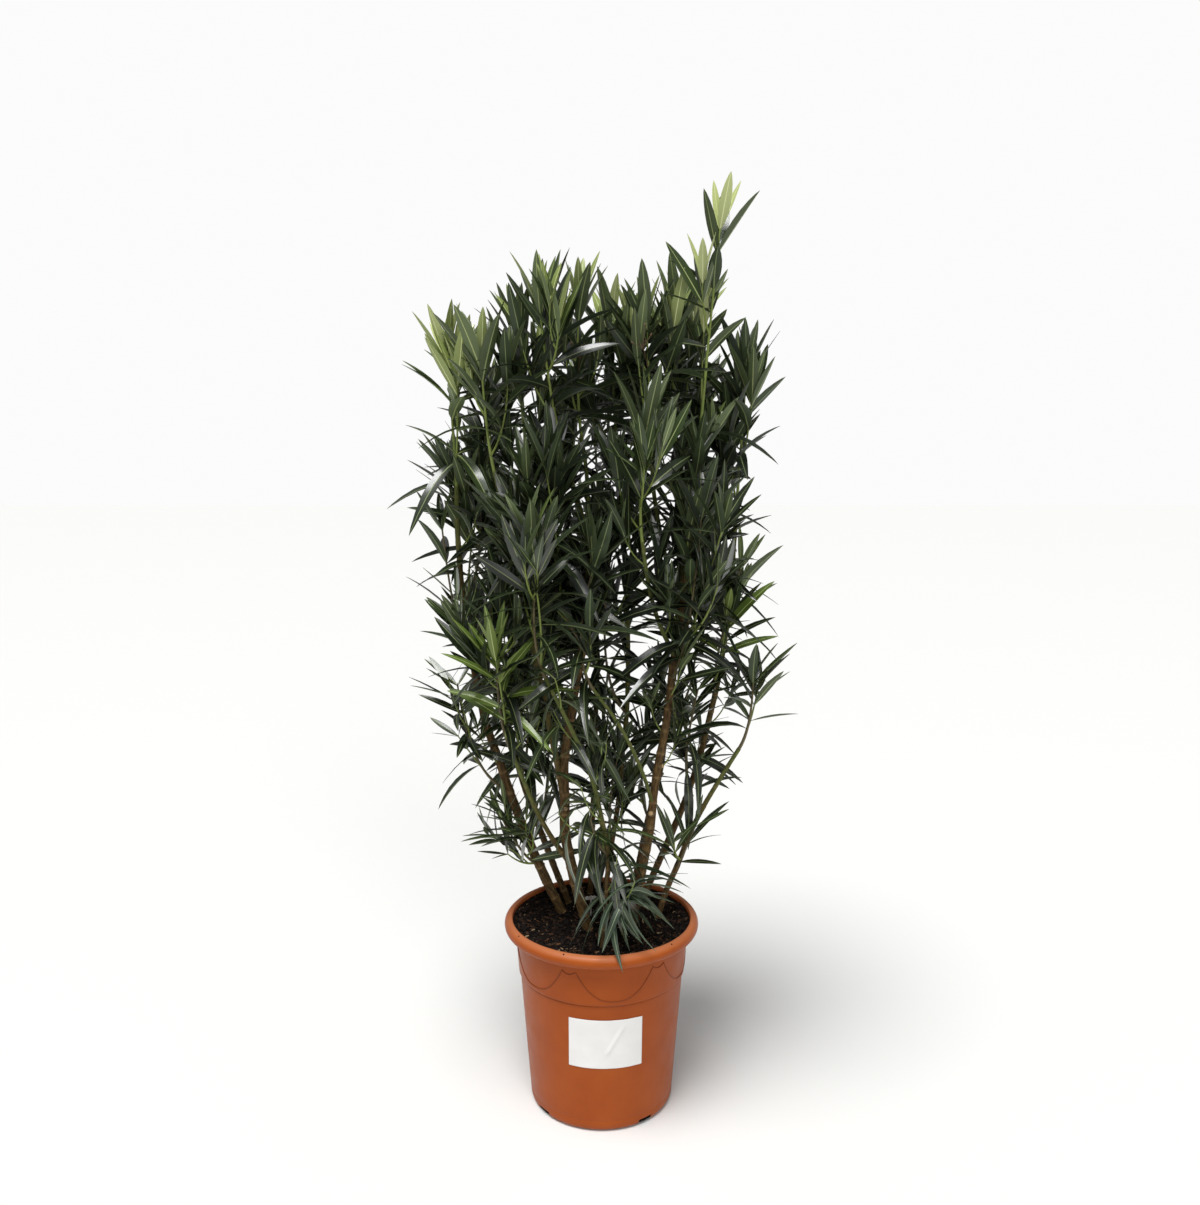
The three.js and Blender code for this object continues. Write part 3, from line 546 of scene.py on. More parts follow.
def oleander_bark():
    """Smooth young oleander bark: grey-brown, streaked along the stem, with pale rings where whorls
    of leaves were. Thin shoots are still green; the attribute "youth" says how far."""
    material = surface("oleander bark", "#6A573A", 0.75, 1.45, specular=0.25)
    tree = material.node_tree
    place = add_node(tree, "TexCoord", "UV")
    along = add_node(tree, "Mapping", values={"Scale": (40.0, 9.0, 1.0)}, links={"Vector": place})
    values = {"Scale": 6.0, "Detail": 5.0, "Roughness": 0.65}
    streak = add_node(tree, "TexNoise", values=values, links={"Vector": along})
    browns = [(0.3, "#2A1E0F"), (0.45, "#4A381E"), (0.6, "#644D2C"), (0.75, "#80683E")]
    old = add_node(tree, "ValToRGB", links={"Fac": streak}, stops=browns)
    greens = [(0.3, "#404824"), (0.6, "#606B36"), (0.8, "#757C45")]
    green = add_node(tree, "ValToRGB", links={"Fac": streak}, stops=greens)
    youth = add_node(tree, "Attribute", "Fac", {"attribute_name": "youth"})
    ring = add_node(tree, "Attribute", "Fac", {"attribute_name": "scar"})
    rgba = {"data_type": "RGBA"}
    links = {"Factor": youth, COLOUR_A: old, COLOUR_B: green}
    tint = add_node(tree, "Mix", COLOUR_OUT, rgba, links=links)
    scarred = {COLOUR_B: linear("#8C7450")}
    tint = add_node(tree, "Mix", COLOUR_OUT, rgba, scarred, {"Factor": ring, COLOUR_A: tint})
    values = {"Strength": 1.0, "Distance": 0.8 * MM}
    relief = add_node(tree, "Bump", values=values, links={"Height": streak})
    link_shader(material, {"Base Color": tint, "Normal": relief})
    return material


def stub_bark():
    """Bark of a pruned stub: old, brown and dull."""
    return surface("bark of a stub", "#6B573B", 0.75, 1.45)


def cut_wood():
    """The weathered face of a cut: pale, dry wood."""
    return surface("weathered cut wood", "#B4966A", 0.8, 1.5)


def dry_stalk():
    """A spent flower stalk: dry, brown and matt."""
    return surface("dry flower stalk", "#6A5540", 0.7, 1.45)


def green_shoot(name, colour):
    """Skin of this year's shoot: green, waxy, softly glossy."""
    return surface(name, colour, 0.5, 1.45)


def leaf_blade(name, colour, wax):
    """Upper side of an oleander leaf: leathery, under a thick wax that gives long soft glints."""
    return surface(name, colour, mix(0.5, 0.3, wax), 1.48, coat=wax, coat_roughness=0.18)


def leaf_rib(name, colour):
    """Midrib of the leaf, which shows as a pale line down its middle."""
    return surface(name, colour, 0.45, 1.45)


def leaf_underside(name, colour):
    """Underside of the leaf: paler and dull, because its pores lie in hairy pits."""
    return surface(name, colour, 0.5, 1.45)


# ------------------------------------------------------------------ limbs


class Line:
    """The middle line of a limb or shoot, as points and radii in millimetres."""

    def __init__(self, points, radii):
        self.points = np.asarray(points, float)
        self.radii = np.asarray(radii, float)

    def at(self, fraction):
        """Point, unit direction and radius at a fraction of the line's stretches."""
        last = len(self.points) - 1
        place = min(max(fraction, 0.0), 1.0) * last
        i = min(last - 1, int(place))
        a, b = self.points[i], self.points[i + 1]
        radius = mix(self.radii[i], self.radii[i + 1], place - i)
        return mix(a, b, place - i), unit(b - a), radius


def limb_line(name, lines):
    """Middle line of a limb: start to tip, plus bow sin(pi t), sway sin(2 pi t) and seeded crooks."""
    limb = LIMBS[name]
    draw = seeded(name)
    bow, sway = limb.get("bow", (0, 0)), limb.get("sway", (0, 0))
    if "on" in limb:
        start = lines[limb["on"]].at(limb["at"])[0]
    else:
        start = np.array([*limb["foot"], COMPOST_LEVEL + CLEAR])
    tip = np.array(limb["tip"], float)
    count = max(3, int(np.linalg.norm(tip - start) / RING_SPACING + 0.5))
    points, radii = [], []
    for i in range(count + 1):
        t = i / count
        crook = 0 if i in (0, count) else CROOK
        point = mix(start, tip, t)
        for axis in (0, 1):
            bend = bow[axis] * math.sin(math.pi * t) + sway[axis] * math.sin(CIRCLE * t)
            point[axis] += bend + crook * (draw() - 0.5) * 2
        near_foot = math.exp((COMPOST_LEVEL - point[2]) / FLARE_HEIGHT)
        flare = 1 if "on" in limb else 1 + (STEM_FLARE - 1) * near_foot
        points.append(point)
        radii.append(mix(*limb["radius"], t**TAPER) * flare)
    return Line(points, radii)


def limb_lines():
    """Every limb's middle line; each is checked against its solid's box in the frame."""
    lines = {}
    for name in LIMBS:
        lines[name] = limb_line(name, lines)
        low, high = in_mm(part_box(name))
        tip = lines[name].points[-1]
        reach = lines[name].radii[-1] + 2
        if np.any(tip < low - reach) or np.any(tip > high + reach):
            raise RuntimeError(f"{name} does not end where its solid does")
    return lines


LINES = limb_lines()
LIMB_STARTS = np.concatenate([line.points[:-1] for line in LINES.values()])
LIMB_ENDS = np.concatenate([line.points[1:] for line in LINES.values()])
LIMB_RADII = np.concatenate([line.radii[:-1] for line in LINES.values()])


def stretch_distances(points, starts, ends):
    """Distances of points from straight stretches: |p - a - clamp((p-a).(b-a) / |b-a|^2) (b-a)|."""
    along = ends - starts
    from_start = points[:, None] - starts[None]
    share = np.sum(from_start * along, axis=-1) / np.sum(along * along, axis=-1)
    nearest = starts + np.clip(share, 0, 1)[..., None] * along
    return np.linalg.norm(points[:, None] - nearest, axis=-1)


def limb_clearance(points):
    """How far points lie outside the nearest limb's skin."""
    return np.min(stretch_distances(points, LIMB_STARTS, LIMB_ENDS) - LIMB_RADII, axis=1)


# ------------------------------------------------------------------ foliage


# Leaves and shoots keep above the compost out to COMPOST_REACH, above RIM_LEVEL over the rim, and are
# free beyond RIM_REACH. They may pass the solids' box and a mass's top by the margins.
COMPOST_REACH, RIM_REACH, RIM_LEVEL = 160, 207, 396
BOX_MARGIN, TOP_MARGIN = 6, 4


class Mass:
    """A foliage mass: its leader's curve, its top, its spread and its own space."""

    internode = slim = turn = bare = opening = None
    young = 0

    def __init__(self, name, on, at, top, spread, fullness, straying, tone, own=None):
        self.name, self.spread = name, spread
        self.fullness, self.straying, self.tone = fullness, straying, tone
        for key, value in (own or {}).items():
            setattr(self, key, value)
        self.top = np.array(top, float)
        self.high = top[2] > HIGH_TOP
        self.opening = self.opening or (HIGH_OPENING if self.high else OPENING)
        self.nodding = self.opening[0] > NODDING
        self.from_tip = at == 1
        if self.nodding:
            self.bare = NODDING_BARE
        elif self.bare is None:
            self.bare = 0.0 if self.from_tip else FORKED_BARE
        point, along, _ = LINES[on].at(at)
        self.start = point + along * (CLEAR if self.from_tip else 0)
        rise = self.top - self.start
        level = (top[2] - CAD_LEAF["low_level"]) / (CAD_LEAF["high_level"] - CAD_LEAF["low_level"])
        leaf = mix(CAD_LEAF["low_length"], CAD_LEAF["high_length"], np.clip(level, 0, 1))
        tuft = min(leaf * LEADER["tuft"], np.linalg.norm(rise) * LEADER["tuft_limit"])
        self.end = self.top - unit(rise) * tuft
        stretch = np.linalg.norm(self.end - self.start)
        self.knee = self.start + along * stretch * LEADER["knee"]
        if not self.from_tip:
            aside = unit(rise - along * np.dot(rise, along))
            self.knee = self.knee + aside * stretch * LEADER["aside"] - along * stretch * LEADER["back"]
        middle = quadratic(self.start, self.knee, self.end, 3)[1]
        self.starts = np.array([self.start, middle, self.end])
        self.ends = np.array([middle, self.end, self.top])

    def beyond(self, points):
        """How far points lie outside the mass's spread, measured from its middle line."""
        return np.min(stretch_distances(points, self.starts, self.ends), axis=1) - self.spread


ALL_MASSES = {f"leaves_{name}": Mass(f"leaves_{name}", *row) for name, row in MASSES.items()}
MASS_STARTS = np.concatenate([mass.starts for mass in ALL_MASSES.values()])
MASS_ENDS = np.concatenate([mass.ends for mass in ALL_MASSES.values()])
MASS_SPREADS = np.array([mass.spread for mass in ALL_MASSES.values()])
MASS_TOPS = np.array([mass.top[2] for mass in ALL_MASSES.values()])


def beyond_masses(points):
    """How far points lie outside each mass's spread, as an array of points by masses."""
    distances = stretch_distances(points, MASS_STARTS, MASS_ENDS)
    return distances.reshape(len(points), len(MASS_SPREADS), -1).min(axis=2) - MASS_SPREADS


def over_the_rim(points):
    """True for points above the compost, or above or outside the rim."""
    from_axis = np.hypot(points[:, 0], points[:, 1])
    floor = np.where(from_axis < COMPOST_REACH, COMPOST_LEVEL + 4, RIM_LEVEL)
    return (points[:, 2] > floor) | (from_axis > RIM_REACH)


def in_reach(points, margin):
    """True where points lie within the crown's reach and its box, and clear of compost and rim."""
    low, high = in_mm(CAD_BOX)
    boxed = np.all((points > low - BOX_MARGIN) & (points < high + BOX_MARGIN), axis=1)
    beyond = beyond_masses(points)
    tops = np.where(beyond < OVERREACH, MASS_TOPS, 0).max(axis=1)
    return (beyond.min(axis=1) < margin) & (points[:, 2] < tops + TOP_MARGIN) & boxed & over_the_rim(points)


class Leaves:
    """Arrays of leaves: root, heading, back (which way the upper side faces), length, width, droop
    and tint."""

    def __init__(self):
        keys = ("root", "heading", "back", "length", "width", "droop", "tint")
        self.rows = {key: [] for key in keys}

    def add(self, **values):
        for key, value in values.items():
            self.rows[key].append(np.asarray(value, float))

    def arrays(self):
        return {key: np.concatenate(rows) for key, rows in self.rows.items()}


# Places along a leaf that are tested, and how far each may lie outside the masses' reach.
LEAF_TESTS = ((0.35, 6), (0.7, 10), (1.0, OVERREACH))
LEAF_CLEARANCE = 2.5


def fits(root, heading, back, length, droop):
    """True for leaves whose middle line, root + L (s heading - droop s^2 back), keeps to the crown's
    reach and clear of the limbs."""
    ok = np.ones(len(root), bool)
    for s, margin in LEAF_TESTS:
        place = root + length[:, None] * (s * heading - droop[:, None] * s**2 * back)
        ok &= in_reach(place, margin)
        ok &= limb_clearance(place) > LEAF_CLEARANCE
    return ok


def along_line(line, places):
    """Points and unit directions at distances along a line."""
    distances = walked(line.points)

    def at(distance):
        return np.stack([np.interp(distance, distances, line.points[:, k]) for k in range(3)], axis=1)

    return at(places), unit(at(np.minimum(places + 4, distances[-1])) - at(np.maximum(places - 4, 0)))


# Growth by height above the floor, in mm: from low to mid height, and from mid height to the top.
LOW_TO_MID = (450, 1200)
MID_TO_TOP = (1440, 1600)
# How far grown leaves arch, low down, at mid height and at the top, and how far the youngest do.
LOW_ARCH, MID_ARCH, TOP_ARCH, YOUNG_ARCH = 0.95, 0.52, 0.3, 0.04
# Length of the youngest leaves by that of grown ones, low down and higher up.
LOW_BUD, MID_BUD = 0.62, 0.72
# Whorls on a shoot at most, how far below its tip the first stands, and how their gaps vary.
MOST_WHORLS = 60
FIRST_WHORL = 2
GAP_RANGE = (0.75, 1.25)
# Nodding leaves are fully open this far below the tip, and have their own droop and least length.
NODDING_REACH = 40
NODDING_DROOP = (0.5, 1.15)
NODDING_LENGTH = 90
# A leaf that doesn't fit is turned by these angles, and held closer to its shoot by these shares.
LEAF_TRIES = ((0, 1), (0.35, 1), (-0.35, 1), (0.7, 0.9), (-0.7, 0.9), (0, 0.62))
# Distances below a tip over which leaves lose their paleness, and reach at least GROWN_TONE.
PALE_REACH = 62
GROWN_FROM, GROWN_OVER = 90, 150
GROWN_TONE = 4.2
# Tones above this are kinds of their own, and neither vary nor pale.
LAST_TONE = 5.5


def ramped(values, ends):
    """A smooth step from 0 to 1 between two ends."""
    return smooth((values - ends[0]) / (ends[1] - ends[0]))


def whorl_turns(mass, count, random):
    """Bearings of the leaves of whorls of three, each whorl turned 60 degrees from the last."""
    turn = random.uniform(0, 6.28)
    turn = (turn if mass.turn is None else mass.turn) + np.arange(count) * math.pi / 3
    stray = random.uniform(-0.3, 0.3, (count, 3))
    return (turn[:, None] + np.arange(3) * CIRCLE / 3 + stray).ravel()


def leaf_sizes(settings, mass, height, down, age, vigour, random):
    """Openings, lengths, widths and droops of leaves, by their height and distance below a tip."""
    count = len(down)
    level = ramped(height, LOW_TO_MID)
    low_angle, tip_angle = mass.opening
    opening = mix(tip_angle, low_angle, age) * random.uniform(0.8, 1.25, count)
    length = mix(settings.leaf_low, settings.leaf_high, level) * vigour * random.uniform(0.78, 1.1, count)
    length = length * mix(mix(LOW_BUD, MID_BUD, level), 1.0, smooth((down + 4) / 34))
    slimness = mass.slim or mix(settings.slim_low, settings.slim_high, level)
    width = length / slimness * random.uniform(0.88, 1.12, count)
    arch = mix(mix(LOW_ARCH, MID_ARCH, level), TOP_ARCH, ramped(height, MID_TO_TOP))
    droop = mix(YOUNG_ARCH, arch, age) * random.uniform(0.3, 1.6, count)
    if mass.nodding:
        droop = random.uniform(*NODDING_DROOP, count)
        length = np.maximum(length, NODDING_LENGTH) * random.uniform(0.95, 1.2, count)
    return opening, length, width, droop


def placed(at, along, spins, opening, length, droop):
    """Headings and backs of leaves, and which of them fit: heading = cos a along + sin a outward and
    back = sin a along - cos a outward, at the first of LEAF_TRIES at which a leaf fits."""
    count = len(at)
    start = np.where(np.abs(along[:, 2:]) < 0.9, [[0.0, 0.0, 1.0]], [[1.0, 0.0, 0.0]])
    across = unit(np.cross(start, along))
    keep = np.zeros(count, bool)
    heading, back = np.zeros((count, 3)), np.zeros((count, 3))
    for shift, closer in LEAF_TRIES:
        angle = np.radians(opening * closer)[:, None]
        outward = turned(across, along, spins + shift)
        tried = along * np.cos(angle) + outward * np.sin(angle)
        tried_back = along * np.sin(angle) - outward * np.cos(angle)
        good = ~keep & fits(at, tried, tried_back, length, droop)
        heading[good], back[good] = tried[good], tried_back[good]
        keep |= good
    return heading, back, keep


def whorl_leaves(settings, mass, line, internode, vigour, random, leaves, tone, bare):
    """Whorls of three down a shoot from its tip. Leaves open and droop with their distance from the
    tip, and the youngest are short and pale. One that touches a limb or leaves the crown's reach is
    turned or held closer, and skipped if that fails."""
    total = np.linalg.norm(np.diff(line.points, axis=0), axis=1).sum()
    gaps = internode * random.uniform(*GAP_RANGE, MOST_WHORLS)
    if mass.internode is None:
        gaps[:2] *= 0.5
    down = FIRST_WHORL + np.concatenate([[0], np.cumsum(gaps)])
    down = down[down < total * (1 - bare)]
    if len(down) == 0:
        return
    at, along = along_line(line, total - down)
    spins = whorl_turns(mass, len(down), random)
    at, along, down = (np.repeat(values, 3, axis=0) for values in (at, along, down))
    age = smooth(down / (NODDING_REACH if mass.nodding else settings.opening_reach))
    opening, length, width, droop = leaf_sizes(settings, mass, at[:, 2], down, age, vigour, random)
    if mass.nodding:
        along = np.tile(unit(np.array(NODDING_AXIS)), (len(down), 1))
    heading, back, keep = placed(at, along, spins, opening, length, droop)
    keep &= random.uniform(size=len(down)) < mix(1.0, settings.kept, age)
    if not keep.any():
        return
    twist = random.normal(0, 0.3, keep.sum())
    pale = settings.young_pale * (1 - smooth(down / PALE_REACH)) * (tone < LAST_TONE)
    grown = mix(tone, max(tone, GROWN_TONE), smooth((down - GROWN_FROM) / GROWN_OVER))
    leaves.add(
        root=at[keep],
        heading=heading[keep],
        back=turned(back[keep], heading[keep], twist),
        length=length[keep],
        width=width[keep],
        droop=droop[keep],
        tint=(grown - pale * mix(0.3, 1.0, ramped(at[:, 2], MID_TO_TOP)))[keep],
    )


# Angles by which a side shoot is turned aside until it fits, and how clear of limbs it keeps.
SHOOT_TRIES = (0, 0.6, -0.6, 1.2, -1.2, 1.9, -1.9)
SHOOT_CLEARANCE = 5
# The angle between one side shoot and the next, round their parent: near the golden angle.
NEXT_BEARING = 2.4


def side_curve(parent, place, bearing, out, rise, margin=-14):
    """A side shoot's curve, leaving its parent outwards and bending up along it, or None where it
    would leave the crown's reach or meet a limb, even when turned aside."""
    at, along, _ = parent.at(place)
    upward = unit(along + [0, 0, 0.5])
    for shift in SHOOT_TRIES:
        outward = sideways(along, bearing + shift)
        knee = at + outward * out * 0.8 + upward * rise * 0.3
        end = at + outward * out + upward * rise
        points = quadratic(at, knee, end, 8)
        probes = points[3:]
        if np.all(in_reach(probes, margin)) and np.all(limb_clearance(probes) > SHOOT_CLEARANCE):
            return points
    return None


def mass_shoots(mass, settings, random):
    """A mass's shoots: its leader up the middle line, side shoots in turn round it, and finer ones
    on those. Each comes as its line, its internode, its leaves' vigour, and its bare share."""
    points = quadratic(mass.start, mass.knee, mix(mass.end, mass.top, 0.26), 14)
    if mass.nodding:
        points = points[:9]
    leader = Line(points, np.linspace(3.7 if mass.from_tip else 3.2, 1.8, len(points)))
    internode = mass.internode or (settings.internode_high if mass.high else settings.internode_low)
    shoots = [(leader, internode, 1.04, mass.bare)]
    length = np.linalg.norm(points[-1] - points[0])
    side_shoots = settings.side_shoots_high if mass.high else settings.side_shoots_low
    count = max(1, round((side_shoots + length / 160) * mass.fullness))
    bearing = random.uniform(0, 6.28)
    for k in range(count):
        place = mix(0.0, 0.78, (k + 0.5) / count)
        out = mass.spread * random.uniform(0.3, 0.72) * mass.straying
        rise = min(length * (1 - place) * random.uniform(0.25, 0.82 if mass.high else 0.95), 330) + 30
        curve = side_curve(leader, place, bearing + k * NEXT_BEARING, out, rise)
        if curve is None:
            continue
        side = Line(curve, np.linspace(2.7, 1.3, len(curve)))
        shoots.append((side, internode * 0.9, 0.97, 0.12))
        for _ in range(settings.twigs):
            if random.uniform() > mass.fullness * (0.35 if mass.high else 1):
                continue
            aside, up = mass.spread * random.uniform(0.2, 0.45), random.uniform(50, 110)
            curve = side_curve(side, random.uniform(0.1, 0.6), random.uniform(0, 6.28), aside, up)
            if curve is not None:
                shoots.append((Line(curve, np.linspace(1.9, 1.0, len(curve))), internode * 0.7, 0.85, 0.15))
    return shoots


def grow_mass(mass, settings, leaves, green, brown):
    """Adds a mass's shoots and their leaves. The leaders of low masses are brown at their feet."""
    random = rng_of(mass.name)
    for number, (line, gap, vigour, bare) in enumerate(mass_shoots(mass, settings, random)):
        twigs = brown if number == 0 and not mass.high else green
        twigs.append(tube(line.points, line.radii, 6 if number == 0 else 5))
        tone = mass.tone + random.uniform(-0.7, 0.7) * (mass.tone < LAST_TONE)
        tone = BRIGHT if 0 < number <= mass.young else tone
        whorl_leaves(settings, mass, line, gap, vigour, random, leaves, tone, bare)


# Spurs: how far they may stand from a mass, how far they may leave the masses' reach, their leaves'
# vigour, and the bare share of each.
SPUR_REACH, SPUR_MARGIN, SPUR_VIGOUR, SPUR_BARE = 25, 8, 0.82, 0.3


def limb_spurs(settings, leaves, green):
    """Short leafy spurs up the limbs themselves, in turn round them, where a mass reaches them."""
    for name, limb in LINES.items():
        random = rng_of(name + "_spurs")
        length = np.linalg.norm(limb.points[-1] - limb.points[0])
        bearing = random.uniform(0, 6.28)
        first = SPUR_FROM.get(name, 50 if "on" in LIMBS[name] else settings.spur_from)
        for k, distance in enumerate(np.arange(first, length, settings.spur_gap)):
            place = distance / length
            at = limb.at(place)[0][None]
            nearest = min(ALL_MASSES.values(), key=lambda mass: mass.beyond(at)[0])
            if nearest.beyond(at)[0] > SPUR_REACH:
                continue
            out, rise = random.uniform(30, 62), random.uniform(50, 105)
            curve = side_curve(limb, place, bearing + k * NEXT_BEARING, out, rise, SPUR_MARGIN)
            if curve is None or random.uniform() > nearest.fullness + SPUR_EXTRA.get(name, 0):
                continue
            line = Line(curve, np.linspace(1.9, 1.0, len(curve)))
            green.append(tube(line.points, line.radii, 5))
            tone = min(nearest.tone + random.uniform(-0.3, 0.8), 5)
            gap = settings.internode_low * 0.8
            whorl_leaves(settings, nearest, line, gap, SPUR_VIGOUR, random, leaves, tone, SPUR_BARE)


# Where a leaf's cross-sections stand along it, the rib's half-width by the leaf's width, and the
# half-width of its stalk.
LEAF_STATIONS = np.array([0.0, 0.07, 0.17, 0.31, 0.47, 0.64, 0.8, 0.93, 1.0])
RIB_SHARE = 0.048
PETIOLE_HALF = 0.8


def blade_outline(s):
    """Half-width of a leaf along it, by its greatest: sin(pi s^0.92)^0.72, so it is widest at 0.47."""
    return np.sin(math.pi * np.clip(s, 0, 1) ** 0.92) ** 0.72


def leaf_meshes(rows):
    """All leaves as one mesh. A leaf's upper side has a margin, the pale rib and a margin, folded up
    from the rib, and its underside is keeled below the rib. Its middle line bends a little to one
    side, by sickle s^2. Material 0 is blade, 1 rib, 2 underside."""
    count = len(rows["root"])
    s = LEAF_STATIONS
    stations = len(s)
    heading, back = rows["heading"], unit(rows["back"])
    across = unit(np.cross(heading, back))
    length, droop, sickle = (rows[key][:, None, None] for key in ("length", "droop", "sickle"))
    t = s[None, :, None]
    middle = rows["root"][:, None] + length * (
        t * heading[:, None] - droop * t**2 * back[:, None] + sickle * t**2 * across[:, None]
    )
    bent = unit(back[:, None] + 2 * droop * t * heading[:, None])
    half = np.maximum(blade_outline(s)[None, :] * rows["width"][:, None] / 2, 0.12)
    half[:, 0] = PETIOLE_HALF
    half[:, 1] = np.maximum(half[:, 1] * 0.8, PETIOLE_HALF)
    rib = RIB_SHARE * rows["width"][:, None] * (1.15 - 0.85 * s)[None, :]
    rib = np.minimum(rib, half * 0.6)
    fold = rows["fold"][:, None]

    def row(side, lift):
        """Points at a signed distance across and a lift off the middle line."""
        return middle + across[:, None] * side[..., None] + bent * lift[..., None]

    left, right = row(-half, half * fold), row(half, half * fold)
    keel = rib * fold - 0.35 - 0.05 * half
    upper = np.stack([left, row(-rib, rib * fold + 0.12), row(rib, rib * fold + 0.12), right], axis=2)
    lower = np.stack([left, row(-rib, keel), row(rib, keel), right], axis=2)
    upper_faces = grid_faces(stations, 4)
    faces = np.concatenate([upper_faces, upper_faces[:, ::-1] + stations * 4])
    kinds = np.concatenate([np.tile([0, 1, 0], stations - 1), np.tile([2, 1, 2], stations - 1)])
    vertices = np.concatenate([upper.reshape(count, -1, 3), lower.reshape(count, -1, 3)], axis=1)
    shifts = np.arange(count)[:, None, None] * vertices.shape[1]
    return vertices.reshape(-1, 3), (faces[None] + shifts).reshape(-1, 4), np.tile(kinds, count)


# Leaf colours from the youngest to the oldest, then the dull blue-grey ones and those of fresh shoots
# inside the crown: blade, rib, underside.
LEAF_TINTS = [
    ("pale", "#BAC481", "#E0E5AC", "#B2BB80"),
    ("fresh", "#8B9A56", "#D6DC9E", "#8C995C"),
    ("mid", "#526230", "#A9B478", "#5F6D46"),
    ("green", "#313F20", "#97A26C", "#465232"),
    ("deep", "#1D2714", "#7F8A5C", "#334026"),
    ("dark", "#10180D", "#68714C", "#263020"),
    ("grey", "#303F2F", "#98A583", "#485643"),
    ("bright", "#566A2A", "#B0BC78", "#69793C"),
]
BRIGHT = 7
# How waxy the blades of a tint are, and the most leaves in one piece.
WAX = {"grey": 0.25, "bright": 0.35}
USUAL_WAX = 0.75
PIECE_LEAVES = 2000


# ------------------------------------------------------------------ settings


class OleanderFoliage(PropertyGroup):
    """Sizes of leaves and shoots."""

    leaf_low: FloatProperty(name="Low leaf", description="Length low in the crown, in mm", default=112)
    leaf_high: FloatProperty(name="High leaf", description="Length high in the crown, in mm", default=136)
    slim_low: FloatProperty(name="Low slimness", description="Length by width, low down", default=7.6)
    slim_high: FloatProperty(name="High slimness", description="Length by width, high up", default=5.6)
    internode_low: FloatProperty(name="Low internode", description="Between whorls, in mm", default=36)
    internode_high: FloatProperty(name="High internode", description="Between whorls, in mm", default=42)
    opening_reach: FloatProperty(
        name="Opening reach", description="Below a tip, where leaves are fully open, in mm", default=170
    )
    young_pale: FloatProperty(
        name="Young paleness", description="How many tones paler the leaves at a tip are", default=3.6
    )
    kept: FloatProperty(name="Kept leaves", description="Share of the oldest leaves not shed", default=0.82)
    side_shoots_low: IntProperty(name="Low side shoots", description="Of a short low leader", default=4)
    side_shoots_high: IntProperty(name="High side shoots", description="Of a short high leader", default=2)
    twigs: IntProperty(name="Twigs", description="Finer shoots on each side shoot", default=1)
    spur_from: FloatProperty(name="Spurs from", description="First spur up a limb, in mm", default=260)
    spur_gap: FloatProperty(name="Spur gap", description="Between spurs on a limb, in mm", default=76)


class OleanderTub(PropertyGroup):
    """Sizes and colour of the tub."""

    colour: StringProperty(name="Colour", description="sRGB hex colour of the plastic", default="#98460F")
    roll: FloatProperty(name="Rim roll", description="Radius of the rolled rim, in mm", default=13.5)
    band_step: FloatProperty(name="Band step", description="How far the band stands out, in mm", default=2.8)
    garland_drop: FloatProperty(name="Garland drop", description="Depth of a garland, in mm", default=60)
    garland_bead: FloatProperty(name="Garland bead", description="Radius of its bead, in mm", default=1.3)


class OleanderStage(PropertyGroup):
    """The plain studio."""

    floor: StringProperty(name="Floor", description="sRGB hex colour of the floor", default="#DEDEDC")
    sky: FloatProperty(name="Sky", description="Strength of the even light from all sides", default=0.2)
    backdrop: FloatProperty(name="Backdrop", description="Brightness of the plain backdrop", default=0.97)
    key: FloatProperty(name="Key", description="Strength of the overhead light, in W/m2", default=3.6)
    softness: FloatProperty(
        name="Softness", description="How wide the lights look", default=math.radians(32), subtype="ANGLE"
    )


# ------------------------------------------------------------------ operators


# The camera's place in metres, its downward tilt in degrees, and its lens and sensor in millimetres.
CAMERA_PLACE = (-0.003, -2.045, 1.317)
CAMERA_TILT = 7.7
CAMERA_LENS, CAMERA_SENSOR = 30.98, 36
# Lights: the direction each comes from, and its strength by that of the overhead one.
LIGHTS = {"top_light": ((-0.5, -0.8, 2.6), 1), "front_light": ((0.6, -2.6, 1.6), 0.26)}
FLOOR_HALF = 30


class OLEANDER_OT_stage(Operator):
    """Camera, soft studio light and a plain pale floor"""

    bl_idname = "oleander.stage"
    bl_label = "Build stage"

    def execute(self, context):
        settings = context.scene.oleander_stage
        camera = bpy.data.cameras.new("camera")
        camera.lens = CAMERA_LENS
        camera.sensor_width = CAMERA_SENSOR
        camera.clip_end = 100
        eye = bpy.data.objects.new("camera", camera)
        eye.location = CAMERA_PLACE
        eye.rotation_euler = (math.radians(90 - CAMERA_TILT), 0, 0)
        context.scene.collection.objects.link(eye)
        context.scene.camera = eye
        for name, (direction, share) in LIGHTS.items():
            soft_light(context, name, direction, settings.key * share, settings.softness)
        context.scene.world = studio_world(settings)
        context.scene.view_settings.view_transform = "Standard"
        side = np.linspace(-FLOOR_HALF, FLOOR_HALF, 3)
        x, y = np.meshgrid(side, side)
        corners = np.stack([x, y, 0 * x], axis=-1).reshape(-1, 3)
        mesh = bpy.data.meshes.new("floor")
        mesh.from_pydata(corners.tolist(), [], grid_faces(3, 3).tolist())
        mesh.materials.append(surface("painted studio floor", settings.floor, 0.7, 1.5))
        floor = bpy.data.objects.new("floor", mesh)
        context.scene.collection.objects.link(floor)
        return {"FINISHED"}


def studio_world(settings):
    """A white world: soft light from all sides, and a brighter plain backdrop for the camera."""
    world = bpy.data.worlds.new("studio")
    world.use_nodes = True
    tree = world.node_tree
    seen = add_node(tree, "LightPath", "Is Camera Ray")
    values = {"To Min": settings.sky, "To Max": settings.backdrop}
    strength = add_node(tree, "MapRange", values=values, links={"Value": seen})
    shade = tree.nodes["Background"]
    shade.inputs["Color"].default_value = (1, 1, 1, 1)
    tree.links.new(strength, shade.inputs["Strength"])
    return world


